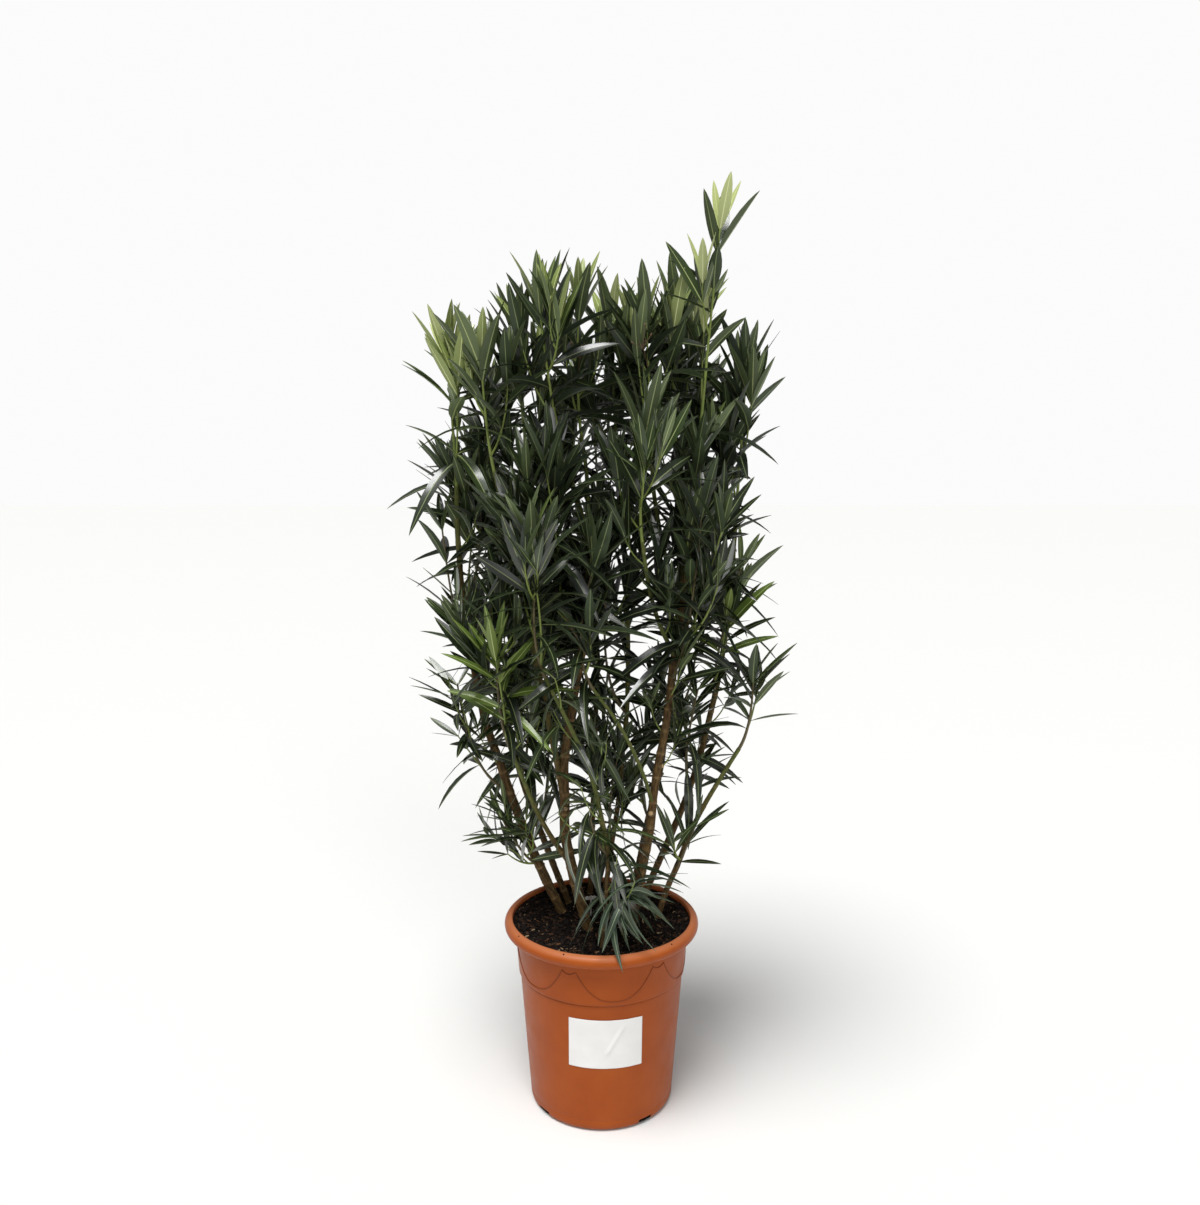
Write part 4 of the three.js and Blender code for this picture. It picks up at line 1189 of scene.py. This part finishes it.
def soft_light(context, name, direction, strength, softness):
    """A broad even light from a direction, as from a large diffuser far off."""
    light = bpy.data.lights.new(name, "SUN")
    light.energy = strength
    light.angle = softness
    lamp = bpy.data.objects.new(name, light)
    lamp.location = direction
    x, y, z = direction
    lamp.rotation_euler = (math.atan2(math.hypot(x, y), z), 0, math.atan2(-y, -x) - math.pi / 2)
    context.scene.collection.objects.link(lamp)


class OLEANDER_OT_tub(Operator):
    """The turned tub with its rolled rim, raised band, garlands and drainage notches"""

    bl_idname = "oleander.tub"
    bl_label = "Build tub"

    def execute(self, context):
        settings = context.scene.oleander_tub
        plastic = moulded_polypropylene(settings.colour)
        low, high = in_mm(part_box("tub"))
        rim = (high[0] - low[0]) / 2
        tub = Tub(rim, high[2], settings.roll, settings.band_step)
        # Painted shade: a near-black finish for the inside of each notch and each small hole in the rim.
        dark = painted_hole_shade()
        *shell, kinds = tub.shell()
        add_piece("tub_shell", shell, [plastic, dark], ["tub"], indices=kinds)
        beads = [tube(line, settings.garland_bead, 8) for line in tub.garlands(settings.garland_drop)]
        # The garland beads carry painted shade, dark as the shadow along each line.
        add_piece("tub_garlands", joined(beads), [painted_shade_line()])
        hole_shades = [tub.rim_hole_shade(bearing) for bearing in HOLE_BEARINGS]
        add_piece("tub_rim_holes", joined(hole_shades), [dark])
        return {"FINISHED"}


# Each small round hole in the rim is drawn as a disc of painted shade: bearings and lift up the roll in
# degrees, and radius.
HOLE_BEARINGS = (-148, -112, -45, 32, 68, 135)
HOLE_LIFT, HOLE_RADIUS = 62, 1.7


class Tub:
    """The tub's section and relief, by its rim radius and height. Sizes are in millimetres, and
    bearings and widths round the tub in degrees."""

    foot_radius = 148
    top_radius = 175
    foot_round = 13
    base_lift = 3
    band_depth = 85
    wall = 4.5
    sides = 360
    # The inner side of the lip, as distances inside the roll's centre and heights, and the levels at
    # which the wall goes on down inside the compost.
    inner_lip = ((1.6, 389.6), (2.8, 388.2), (3.4, 385.0), (4, 378.0))
    inner_levels = (352.0, 340.0)
    # Grooves round the foot and under the band: depth, and the foot's height and width.
    foot_groove, foot_groove_level, foot_groove_width = 0.7, 24, 2.2
    band_groove = 0.9
    # Drainage notches: their number, the first one's bearing, half-width with the fade of its sides,
    # top with its fade, and depth at the floor.
    notches = 4
    first_notch = -53
    notch_half, notch_fade = 6.6, 1.2
    notch_top, notch_top_fade = 12.5, 2
    notch_floor = 0.8
    # Garlands: their number and the first post's bearing, then each swag's and each loop's half-width,
    # distance of its ends below the lip, and power; and a loop's depth.
    garlands_round = 6
    first_post = -21
    swag = (25.6, 15, 2.6)
    loop = (4.5, 16, 2.0)
    loop_drop = 6

    def __init__(self, rim, height, roll, band_step):
        self.rim, self.height, self.roll, self.band_step = rim, height, roll, band_step
        self.lip = height - 2 * roll

    def wall_radius(self, z):
        """Outer radius of the tapering wall: foot to top radius in a straight line with height."""
        return mix(self.foot_radius, self.top_radius, (z - self.foot_round) / (self.lip - self.foot_round))

    def profile(self):
        """The closed half-section as radius and height: base, rounded corner, wall, step, band, under
        side of the lip, a roll by arcs of a circle, and the inner wall down into the compost."""
        corner = np.radians(np.linspace(-90, 0, 9))
        inset = self.foot_radius - self.foot_round
        r = [0, 60, 110, inset - 6, *(inset + self.foot_round * np.cos(corner))]
        z = [self.base_lift] * 3 + [0, *(self.foot_round + self.foot_round * np.sin(corner))]

        def outside(levels, offsets):
            """Adds points of the wall at some levels, moved out by offsets."""
            z.extend(levels)
            r.extend(self.wall_radius(np.asarray(levels, float)) + offsets)

        band = self.lip - self.band_depth
        levels = np.array([15, 17, 21, 24, 27, *np.linspace(31, band - 4, 16)])
        depth = ((levels - self.foot_groove_level) / self.foot_groove_width) ** 2
        outside(levels, -self.foot_groove * np.exp(-depth))
        t = np.linspace(0, 1, 7)
        step = self.band_step * smooth(2.4 * t - 1.4) - self.band_groove * np.sin(math.pi * t)
        outside(band - 2.6 + 3.2 * t, step)
        outside(np.linspace(band + 5, self.lip - 3, 12), self.band_step)
        centre = self.rim - self.roll
        arc = np.radians(np.linspace(-112, 90, 24))
        r.extend(centre + self.roll * np.cos(arc))
        z.extend(self.height - self.roll + self.roll * np.sin(arc))
        r += [centre - inward for inward, _ in self.inner_lip]
        z += [level for _, level in self.inner_lip]
        outside(self.inner_levels, -self.wall)
        return np.array(r, float), np.array(z, float)

    def shell(self):
        """The turned shell: the profile carried round the axis, and pressed in at the drainage notches,
        less so at the floor. Its faces are of material 0, and of 1, painted shade, inside a notch."""
        r, z = self.profile()
        angles = np.arange(self.sides) * CIRCLE / self.sides
        turn = 360 / self.notches
        off = np.abs((np.degrees(angles) - self.first_notch + turn / 2) % turn - turn / 2)
        outer = (r > 120) & (z < 40)
        inside = smooth((self.notch_half - off) / self.notch_fade)[None, :]
        inside = inside * (smooth((self.notch_top - z) / self.notch_top_fade) * outer)[:, None]
        pressed_in = mix(self.notch_floor, self.wall, smooth((z - 4) / 7))[:, None]
        radius = r[:, None] - pressed_in * inside
        level = np.repeat(z[:, None], self.sides, axis=1)
        vertices = np.stack([radius * np.cos(angles), radius * np.sin(angles), level], axis=-1)
        faces = grid_faces(len(r), self.sides, closed=True)
        # Faces deep in a notch take material 1, painted shade.
        painted_shade_faces = inside.ravel()[faces].mean(axis=1) > 0.45
        return vertices.reshape(-1, 3), faces, painted_shade_faces.astype(int)

    def garlands(self, drop):
        """Lines of the garlands: U-shaped swags, and a small loop between two of them."""
        each = 360 / self.garlands_round
        posts = self.first_post + np.arange(self.garlands_round) * each
        lines = []
        for post in posts:
            lines.append(self.hung(post + each / 2, drop, *self.swag))
            lines.append(self.hung(post, self.loop_drop, *self.loop))
        return lines

    def hung(self, middle, drop, half, below, power):
        """One swag or loop: height = top - drop (1 - |u|^power), with u from -1 to 1 across it."""
        u = np.linspace(-1, 1, 61)
        angle = np.radians(middle + half * u - 90)
        z = self.lip - below - drop * (1 - np.abs(u) ** power)
        r = self.wall_radius(z) + self.band_step - 0.1
        return np.stack([r * np.cos(angle), r * np.sin(angle), z], axis=-1)

    def rim_hole_shade(self, bearing):
        """The mouth of a small round hole, drawn as a disc of painted shade that stands just proud of the
        roll's upper side.
        """
        turn, lift = math.radians(bearing), math.radians(HOLE_LIFT)
        outward = np.array([math.cos(turn), math.sin(turn), 0.0])
        normal = outward * math.cos(lift) + np.array([0, 0, math.sin(lift)])
        centre = outward * (self.rim - self.roll) + np.array([0, 0, self.height - self.roll])
        mouth = centre + normal * (self.roll + 0.15)
        return tube(np.array([mouth - normal * 2, mouth - normal * 0.4, mouth]), HOLE_RADIUS, 14)


# The bed: its radius, rings and vertices round, and the depth of its edge under the rim.
BED_RADIUS = 182.6
BED_RINGS, BED_ROUND = 60, 200
BED_EDGE_LEVEL = 350.0
# Its lumps, each with height, width and seed, and its heap against the rim.
BED_LUMPS = ((2.6, 60, 5), (3.0, 22, 6), (2.0, 9, 7))
BED_HEAP, HEAP_FROM, HEAP_OVER = 12, 140, 50
# Chips: kind, colour, count, and the range of length and of width by length.
CHIPS = (
    ("black", "#15100D", 1500, (5, 18, 0.25, 0.6)),
    ("brown", "#3A281C", 900, (4, 15, 0.2, 0.5)),
    ("russet", "#5C3E29", 260, (4, 12, 0.15, 0.4)),
    ("tan", "#A08A6B", 200, (4, 13, 0.08, 0.22)),
)
# A shard's six corners, by its half-length and half-width, and the faces of its top and underside.
SHARD_CORNERS = [[-1, -0.5, 0], [-0.3, -1, 0], [0.8, -0.7, 0], [1, 0.3, 0], [0.2, 1, 0], [-0.8, 0.6, 0]]
SHARD_CAPS = [[6, 7, 8, 9], [6, 9, 10, 11], [3, 2, 1, 0], [5, 4, 3, 0]]


class OLEANDER_OT_compost(Operator):
    """The uneven bed of bark compost and the shards that lie on it"""

    bl_idname = "oleander.compost"
    bl_label = "Build compost"

    def execute(self, context):
        rings = np.linspace(0.001, 1, BED_RINGS) ** 0.8 * BED_RADIUS
        angles = np.arange(BED_ROUND) * CIRCLE / BED_ROUND
        x = rings[:, None] * np.cos(angles)
        y = rings[:, None] * np.sin(angles)
        edge = np.stack([x[-1] * 0.93, y[-1] * 0.93, np.full(BED_ROUND, BED_EDGE_LEVEL)], axis=-1)[None]
        vertices = np.concatenate([np.stack([x, y, bed_level(x, y)], axis=-1), edge])
        shape = vertices, grid_faces(BED_RINGS + 1, BED_ROUND, closed=True)
        add_piece("compost_bed", shape, [bark_compost()], ["compost"])
        random = rng_of("compost")
        for kind, colour, count, sizes in CHIPS:
            shards = bark_shards(random, count, BED_RADIUS - 5, sizes)
            material = bark_chip(f"{kind} bark chip", colour)
            add_piece(f"compost_{kind}_chips", shards, [material], facets=True)
        return {"FINISHED"}


def bed_level(x, y):
    """Height of the compost: lumps of three sizes on a level that rises towards the rim."""
    place = np.stack([x, y, 0 * x], axis=-1)
    lumps = sum(height * wavy(place, width, seed) for height, width, seed in BED_LUMPS)
    from_axis = np.hypot(x, y)
    heap = BED_HEAP * smooth((from_axis - HEAP_FROM) / HEAP_OVER)
    return COMPOST_LEVEL - 2 + lumps * smooth((188 - from_axis) / 14) + heap


def bark_shards(random, count, radius, sizes):
    """Shards: a six-cornered flat lozenge each, of seeded size, lying at a slight tilt on the bed."""
    distance = radius * np.sqrt(random.uniform(0.0, 1, count))
    bearing = random.uniform(0, CIRCLE, count)
    x, y = distance * np.cos(bearing), distance * np.sin(bearing)
    shortest, longest, narrowest, widest = sizes
    length = shortest + (longest - shortest) * random.uniform(0, 1, count) ** 2
    width = length * random.uniform(narrowest, widest, count)
    thick = np.minimum(random.uniform(0.8, 2.6, count), width)
    centre = np.stack([x, y, bed_level(x, y) + thick * 0.8], axis=-1)
    along = unit(np.stack([*random.normal(size=(2, count)), 0.3 * random.normal(size=count)], axis=-1))
    up = unit(np.stack([*(0.35 * random.normal(size=(2, count))), np.ones(count)], axis=-1))
    across = unit(np.cross(up, along))
    up = np.cross(along, across)
    corners = np.array(SHARD_CORNERS)[None] + random.uniform(-0.15, 0.15, (count, 6, 3)) * [1, 1, 0]
    flat = (
        centre[:, None]
        + along[:, None] * corners[..., :1] * (length / 2)[:, None, None]
        + across[:, None] * corners[..., 1:2] * (width / 2)[:, None, None]
    )
    lift = up[:, None] * (thick / 2)[:, None, None]
    vertices = np.concatenate([flat - lift, flat + lift * 0.8], axis=1)
    k = np.arange(6)
    sides = np.stack([k, (k + 1) % 6, (k + 1) % 6 + 6, k + 6], axis=-1)
    faces = np.concatenate([sides, SHARD_CAPS])
    return vertices, (faces[None] + np.arange(count)[:, None, None] * 12).reshape(-1, 4)


class OLEANDER_OT_label(Operator):
    """The blank sheet of paper stuck on the front of the tub, and the torn tag in the compost"""

    bl_idname = "oleander.label"
    bl_label = "Build label and tag"

    def execute(self, context):
        add_label()
        add_tag()
        return {"FINISHED"}


# The wall that the label follows, as planned: rim radius, height, roll and band step.
LABEL_WALL = Tub(200, 390, 13.5, 2.8)
# The sheet's width, height, thickness and least distance from the wall, its bearing from the front
# and its tilt in degrees, and its grid.
LABEL_WIDTH, LABEL_HEIGHT, LABEL_THICK, LABEL_OFF = 148.0, 105, 0.12, 0.55
LABEL_BEARING, LABEL_TILT = 3, -0.8
LABEL_COLUMNS, LABEL_ROWS = 81, 57
CREASE_LIFT, CREASE_WIDTH = 1.9, 0.06
# The tag's half-width, height and thickness, the depth of its tears, its grid, and its peg's radius.
TAG_HALF, TAG_HEIGHT, TAG_THICK, TAG_TEAR = 12, 10, 0.7, 2.2
TAG_COLUMNS, TAG_ROWS = 25, 9
PEG_RADIUS = 1.3


def add_label():
    """The sheet: a grid wrapped on the wall, standing off it by a seeded ripple and along one crease."""
    low, high = in_mm(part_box("label"))
    u, v = np.meshgrid(np.linspace(-1, 1, LABEL_COLUMNS), np.linspace(0, 1, LABEL_ROWS))
    z = mix(low[2], high[2], v) + u * LABEL_WIDTH / 2 * math.sin(math.radians(LABEL_TILT))
    wall = LABEL_WALL.wall_radius(z)
    angle = math.radians(LABEL_BEARING - 90) + u * LABEL_WIDTH / 2 / wall
    crease = CREASE_LIFT * np.exp(-(((u - 0.2 - 0.8 * (v - 0.52)) / CREASE_WIDTH) ** 2))
    crease *= smooth((v - 0.2) / 0.2) * smooth((0.92 - v) / 0.2)
    place = np.stack([u * LABEL_WIDTH / 2, v * LABEL_HEIGHT, 0 * u], axis=-1)
    off = LABEL_OFF + 0.25 * (1 + wavy(place, 55, 11)) + crease
    r = wall + np.stack([off + LABEL_THICK, off])
    sheets = np.stack([r * np.cos(angle), r * np.sin(angle), np.stack([z, z])], axis=-1)
    shape = sheets, sheet_faces(LABEL_ROWS, LABEL_COLUMNS)
    add_piece("label_sheet", shape, [plain_paper()], ["label"])


def sheet_faces(rows, columns):
    """Faces of a thin sheet: a front grid, a back grid whose vertices follow, and the edge between,
    which joins the grids' outer vertices in order round them."""
    index = np.arange(rows * columns).reshape(rows, columns)
    edge = np.concatenate([index[0, :-1], index[:-1, -1], index[-1, :0:-1], index[:0:-1, 0]])
    after = np.roll(edge, -1)
    front = grid_faces(rows, columns)
    rim = np.stack([edge, edge + index.size, after + index.size, after], axis=-1)
    return np.concatenate([front, front[:, ::-1] + index.size, rim])


def add_tag():
    """The torn tag: a strip with a wavy upper edge, bent over, on a thin peg."""
    low, high = in_mm(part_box("tag"))
    centre = (low + high) / 2
    u, v = np.meshgrid(np.linspace(-1, 1, TAG_COLUMNS), np.linspace(0, 1, TAG_ROWS))
    x = centre[0] + TAG_HALF * u
    top = high[2] - 0.6 - TAG_TEAR * np.abs(np.sin(5 * u)) * (0.4 + 0.6 * np.abs(u))
    z = mix(high[2] - TAG_HEIGHT, top, v)
    y = centre[1] + 1.6 * np.sin(2.2 * u + 0.4) - 1.5 * v**2
    sheet = np.stack([x, y, z], axis=-1).reshape(-1, 3)
    plate = np.concatenate([sheet, sheet + [0, TAG_THICK, 0]]), sheet_faces(TAG_ROWS, TAG_COLUMNS)
    line = np.linspace([centre[0], centre[1] + 1, low[2] - 4], [centre[0], centre[1] + 1, high[2] - 7], 6)
    add_piece("tag_strip", joined([plate, tube(line, PEG_RADIUS, 8)]), [tag_plastic()], ["tag"])


# Stubs left by pruning: limb, share of its length, bearing from the front in degrees, radius, length.
STUBS = (
    ("stem_left", 0.22, -55, 4.0, 15),
    ("stem_left", 0.37, 70, 3.4, 5),
    ("stem_centre", 0.26, 10, 4.4, 4),
    ("stem_front", 0.34, 25, 2.8, 8),
    ("stem_front", 0.2, -40, 2.6, 5),
    ("stem_right", 0.25, -12, 5.4, 5),
    ("stem_right", 0.35, 55, 4.6, 3.5),
    ("stem_right_outer", 0.3, 30, 3.8, 12),
    ("stem_right_outer", 0.64, -30, 3.4, 7),
    ("stem_far_right", 0.62, -35, 3.2, 16),
    ("stem_left_back", 0.3, 190, 3.6, 9),
    ("stem_back", 0.28, 170, 3.4, 8),
    ("stem_back_right", 0.34, 150, 3.8, 12),
)
# Spent flower stalks: the foliage mass, the share of its leader's height, and the way they lean.
PANICLES = (
    ("leaves_centre_top", 0.5, (0.1, -1, 0.7)),
    ("leaves_inner_right_top", 0.62, (-0.3, -1, 0.9)),
    ("leaves_left_top_centre", 0.6, (-0.2, -1, 0.9)),
    ("leaves_rear_top", 0.58, (-0.1, 1, 0.8)),
    ("leaves_rear_left_top", 0.6, (-0.6, 0.8, 0.9)),
)


# A stub's radii from limb to cut, by its own.
STUB_TAPER = np.array([1.35, 1.25, 1.0, 0.98, 0.9])
# A stalk's length, the lengths of its rays and how far these spread, and the radii of a calyx.
STALK_LENGTH, STALK_RAYS = 62, 5
RAY_LENGTHS, RAY_SPREAD = (24, 42), 0.45
CALYX = (0.7, 1.6, 1.9, 1.3, 0.6)


def add_stubs():
    """Stubs where shoots were cut: short pegs square to the limb, each with its pale cut face."""
    pegs, cuts = [], []
    for limb, place, bearing, radius, length in STUBS:
        at, along, thick = LINES[limb].at(place)
        turn = math.radians(bearing)
        facing = np.array([math.sin(turn), -math.cos(turn), 0.0])
        outward = unit(unit(facing - along * np.dot(facing, along)) + 0.35 * along)
        out = thick + length
        reaches = np.array([0.3 * thick, 0.9 * thick, thick + 0.5 * length, out, out + 0.2])
        pegs.append(tube(at + outward * reaches[:, None], radius * STUB_TAPER, 14))
        end = at + outward * out
        cuts.append(tube(np.array([end - outward, end, end + outward * 0.45]), radius * 0.8, 14))
    add_piece("pruned_stubs", joined(pegs), [stub_bark()])
    add_piece("pruned_faces", joined(cuts), [cut_wood()])


def add_panicles():
    """Spent flower stalks: a thin stalk off the leader that forks into rays, each with a dry calyx."""
    parts = []
    for name, place, lean in PANICLES:
        mass, random = ALL_MASSES[name], rng_of(name + "_panicle")
        at = quadratic(mass.start, mass.knee, mix(mass.end, mass.top, 0.42), 41)[round(place * 40)]
        lean = unit(np.array(lean, float))
        fork = at + lean * STALK_LENGTH
        stalk = quadratic(at, at + lean * 30 + [0, 0, 12], fork, 8)
        parts.append(tube(stalk, np.linspace(1.4, 1.0, 8), 6))
        for _ in range(STALK_RAYS):
            ray = unit(lean + random.normal(0, RAY_SPREAD, 3) + [0, 0, 0.3])
            end = fork + ray * random.uniform(*RAY_LENGTHS)
            parts.append(tube(quadratic(fork, fork + ray * 12, end, 5), np.linspace(0.9, 0.6, 5), 5))
            calyx = np.linspace(0, 7, 5)[:, None] * ray + end
            parts.append(tube(calyx, CALYX, 6))
    add_piece("spent_flower_stalks", joined(parts), [dry_stalk()])


class OLEANDER_OT_bark(Operator):
    """Bark with relief on every stem and bough, and the stubs left by pruning"""

    bl_idname = "oleander.bark"
    bl_label = "Build bark"

    def execute(self, context):
        bark = oleander_bark()
        for name, line in LINES.items():
            add_bark(name, line, bark)
        add_stubs()
        return {"FINISHED"}


# Bark: vertices round a limb and the distance between rings, the range of distances between rings
# of leaf scars, lumps by radius, their width, and the heights over which a limb turns green.
BARK_SIDES, BARK_STEP = 26, 3.5
SCAR_SPACING = (30, 46)
LUMP_SHARE, LUMP_WIDTH = 0.055, 26
YOUNG_BARK, YOUNG_TOP = 0.9, (1000, 1260)
COLLAR = 0.3


def add_bark(name, line, material):
    """A limb's skin: a tube whose radius swells at the rings of old leaf scars, with lumps, and with
    three scars to a ring. A bough starts inside its parent, in a swollen collar."""
    random = rng_of(name + "_bark")
    points, radii = through(line.points, line.radii, BARK_STEP)
    angles, ring = rings_along(points, BARK_SIDES)
    distances = walked(points)
    spacing = random.uniform(*SCAR_SPACING)
    phase = distances / spacing + 0.25 * np.sin(distances / 90)
    node = np.exp(-((np.abs(phase - np.round(phase)) * spacing / 2.0) ** 2))[:, None]
    three = 0.5 + 0.5 * np.cos(3 * (angles[None] - np.round(phase)[:, None] * math.pi / 3))
    round_skin = points[:, None] + radii[:, None, None] * ring
    lumps = wavy(round_skin * [1, 1, 0.35], LUMP_WIDTH, zlib.crc32(name.encode()) % 999)
    thin = np.clip(radii / 9, 0.35, 1)[:, None]
    relief = thin * (LUMP_SHARE * lumps * radii[:, None] + node * (0.45 + 0.9 * three))
    collar = COLLAR if "on" in LIMBS[name] else 0
    swell = 1 + collar * np.exp(-distances / 16)[:, None]
    vertices = points[:, None] + (radii[:, None] * swell + relief)[..., None] * ring
    tip = points[-1] + (points[-1] - points[-2]) * 0.3
    vertices = np.concatenate([vertices, np.repeat(tip[None, None], BARK_SIDES, axis=1)])
    rows = len(points) + 1
    around = np.repeat((angles * 9 * MM)[None], rows, axis=0)
    up = np.repeat(np.append(distances, distances[-1])[:, None] * MM, BARK_SIDES, axis=1)
    uv = np.stack([around, up], axis=-1).reshape(-1, 2)
    shape = vertices, grid_faces(rows, BARK_SIDES, closed=True)
    piece = add_piece(f"{name}_bark", shape, [material], [name], uv=uv)
    youth = smooth((6.6 - radii) / 2.6) * YOUNG_BARK * smooth((points[:, 2] - 470) / 260)
    youth = np.maximum(youth, YOUNG_BARK * ramped(points[:, 2], YOUNG_TOP))
    scars = np.clip(node * (0.25 + 0.6 * three), 0, 1) * (1 - 0.6 * youth[:, None])
    store(piece.data, "youth", np.repeat(np.append(youth, youth[-1])[:, None], BARK_SIDES, axis=1))
    store(piece.data, "scar", np.concatenate([scars, scars[-1:]]))


def store(mesh, name, values):
    """Keeps one number for each vertex."""
    layer = mesh.attributes.new(name, "FLOAT", "POINT")
    layer.data.foreach_set("value", np.asarray(values, np.float32).ravel())


class OLEANDER_OT_foliage(Operator):
    """Leafy shoots of every foliage mass, in whorls of three"""

    bl_idname = "oleander.foliage"
    bl_label = "Build foliage"

    def execute(self, context):
        settings = context.scene.oleander_foliage
        leaves, green, brown = Leaves(), [], []
        for mass in ALL_MASSES.values():
            grow_mass(mass, settings, leaves, green, brown)
        limb_spurs(settings, leaves, green)
        rows = leaves.arrays()
        random = rng_of("leaf shapes")
        count = len(rows["root"])
        rows["fold"] = random.uniform(0.06, 0.4, count)
        rows["sickle"] = random.normal(0, 0.04, count)
        tint = np.round(rows["tint"] + random.uniform(-0.3, 0.3, count))
        tint = np.where(rows["tint"] > LAST_TONE, rows["tint"], np.clip(tint, 0, 5)).astype(int)
        for number, (kind, *colours) in enumerate(LEAF_TINTS):
            add_leaves(kind, colours, {key: values[tint == number] for key, values in rows.items()})
        for kind, colour, parts in (("green", "#76853F", green), ("brown", "#5B5134", brown)):
            skin = green_shoot(f"{kind} shoot skin", colour)
            add_piece(f"twigs_{kind}", joined(parts), [skin])
        add_panicles()
        return {"FINISHED"}


def add_leaves(kind, colours, rows):
    """The leaves of one tint, in pieces of at most PIECE_LEAVES."""
    blade, rib, under = colours
    materials = [
        leaf_blade(f"{kind} leaf blade", blade, WAX.get(kind, USUAL_WAX)),
        leaf_rib(f"{kind} leaf rib", rib),
        leaf_underside(f"{kind} leaf underside", under),
    ]
    for part, first in enumerate(range(0, len(rows["root"]), PIECE_LEAVES)):
        chosen = {key: values[first : first + PIECE_LEAVES] for key, values in rows.items()}
        *shape, kinds = leaf_meshes(chosen)
        replaced = list(ALL_MASSES) if kind == "green" and part == 0 else []
        add_piece(f"leaves_{kind}_{part + 1}", shape, materials, replaced, indices=kinds)


class OLEANDER_PT_panel(Panel):
    """The sidebar panel that lists the operators"""

    bl_idname = "OLEANDER_PT_panel"
    bl_label = "Potted Oleander"
    bl_space_type = "VIEW_3D"
    bl_region_type = "UI"
    bl_category = "Oleander"

    def draw(self, context):
        for operator in OPERATORS:
            self.layout.operator(operator.bl_idname)


SETTINGS = {
    "oleander_foliage": OleanderFoliage,
    "oleander_tub": OleanderTub,
    "oleander_stage": OleanderStage,
}
OPERATORS = (
    OLEANDER_OT_stage,
    OLEANDER_OT_tub,
    OLEANDER_OT_compost,
    OLEANDER_OT_label,
    OLEANDER_OT_bark,
    OLEANDER_OT_foliage,
)


def register():
    """Registers the settings, the operators and the panel."""
    for name, group in SETTINGS.items():
        bpy.utils.register_class(group)
        setattr(bpy.types.Scene, name, PointerProperty(type=group))
    for each in (*OPERATORS, OLEANDER_PT_panel):
        bpy.utils.register_class(each)


def unregister():
    """Takes them all away again, in the opposite order."""
    for each in (OLEANDER_PT_panel, *reversed(OPERATORS)):
        bpy.utils.unregister_class(each)
    for name, group in SETTINGS.items():
        delattr(bpy.types.Scene, name)
        bpy.utils.unregister_class(group)


def main():
    """Builds the stage and every piece."""
    register()
    bpy.ops.oleander.stage()
    bpy.ops.oleander.tub()
    bpy.ops.oleander.compost()
    bpy.ops.oleander.label()
    bpy.ops.oleander.bark()
    bpy.ops.oleander.foliage()


if __name__ == "__main__":
    main()
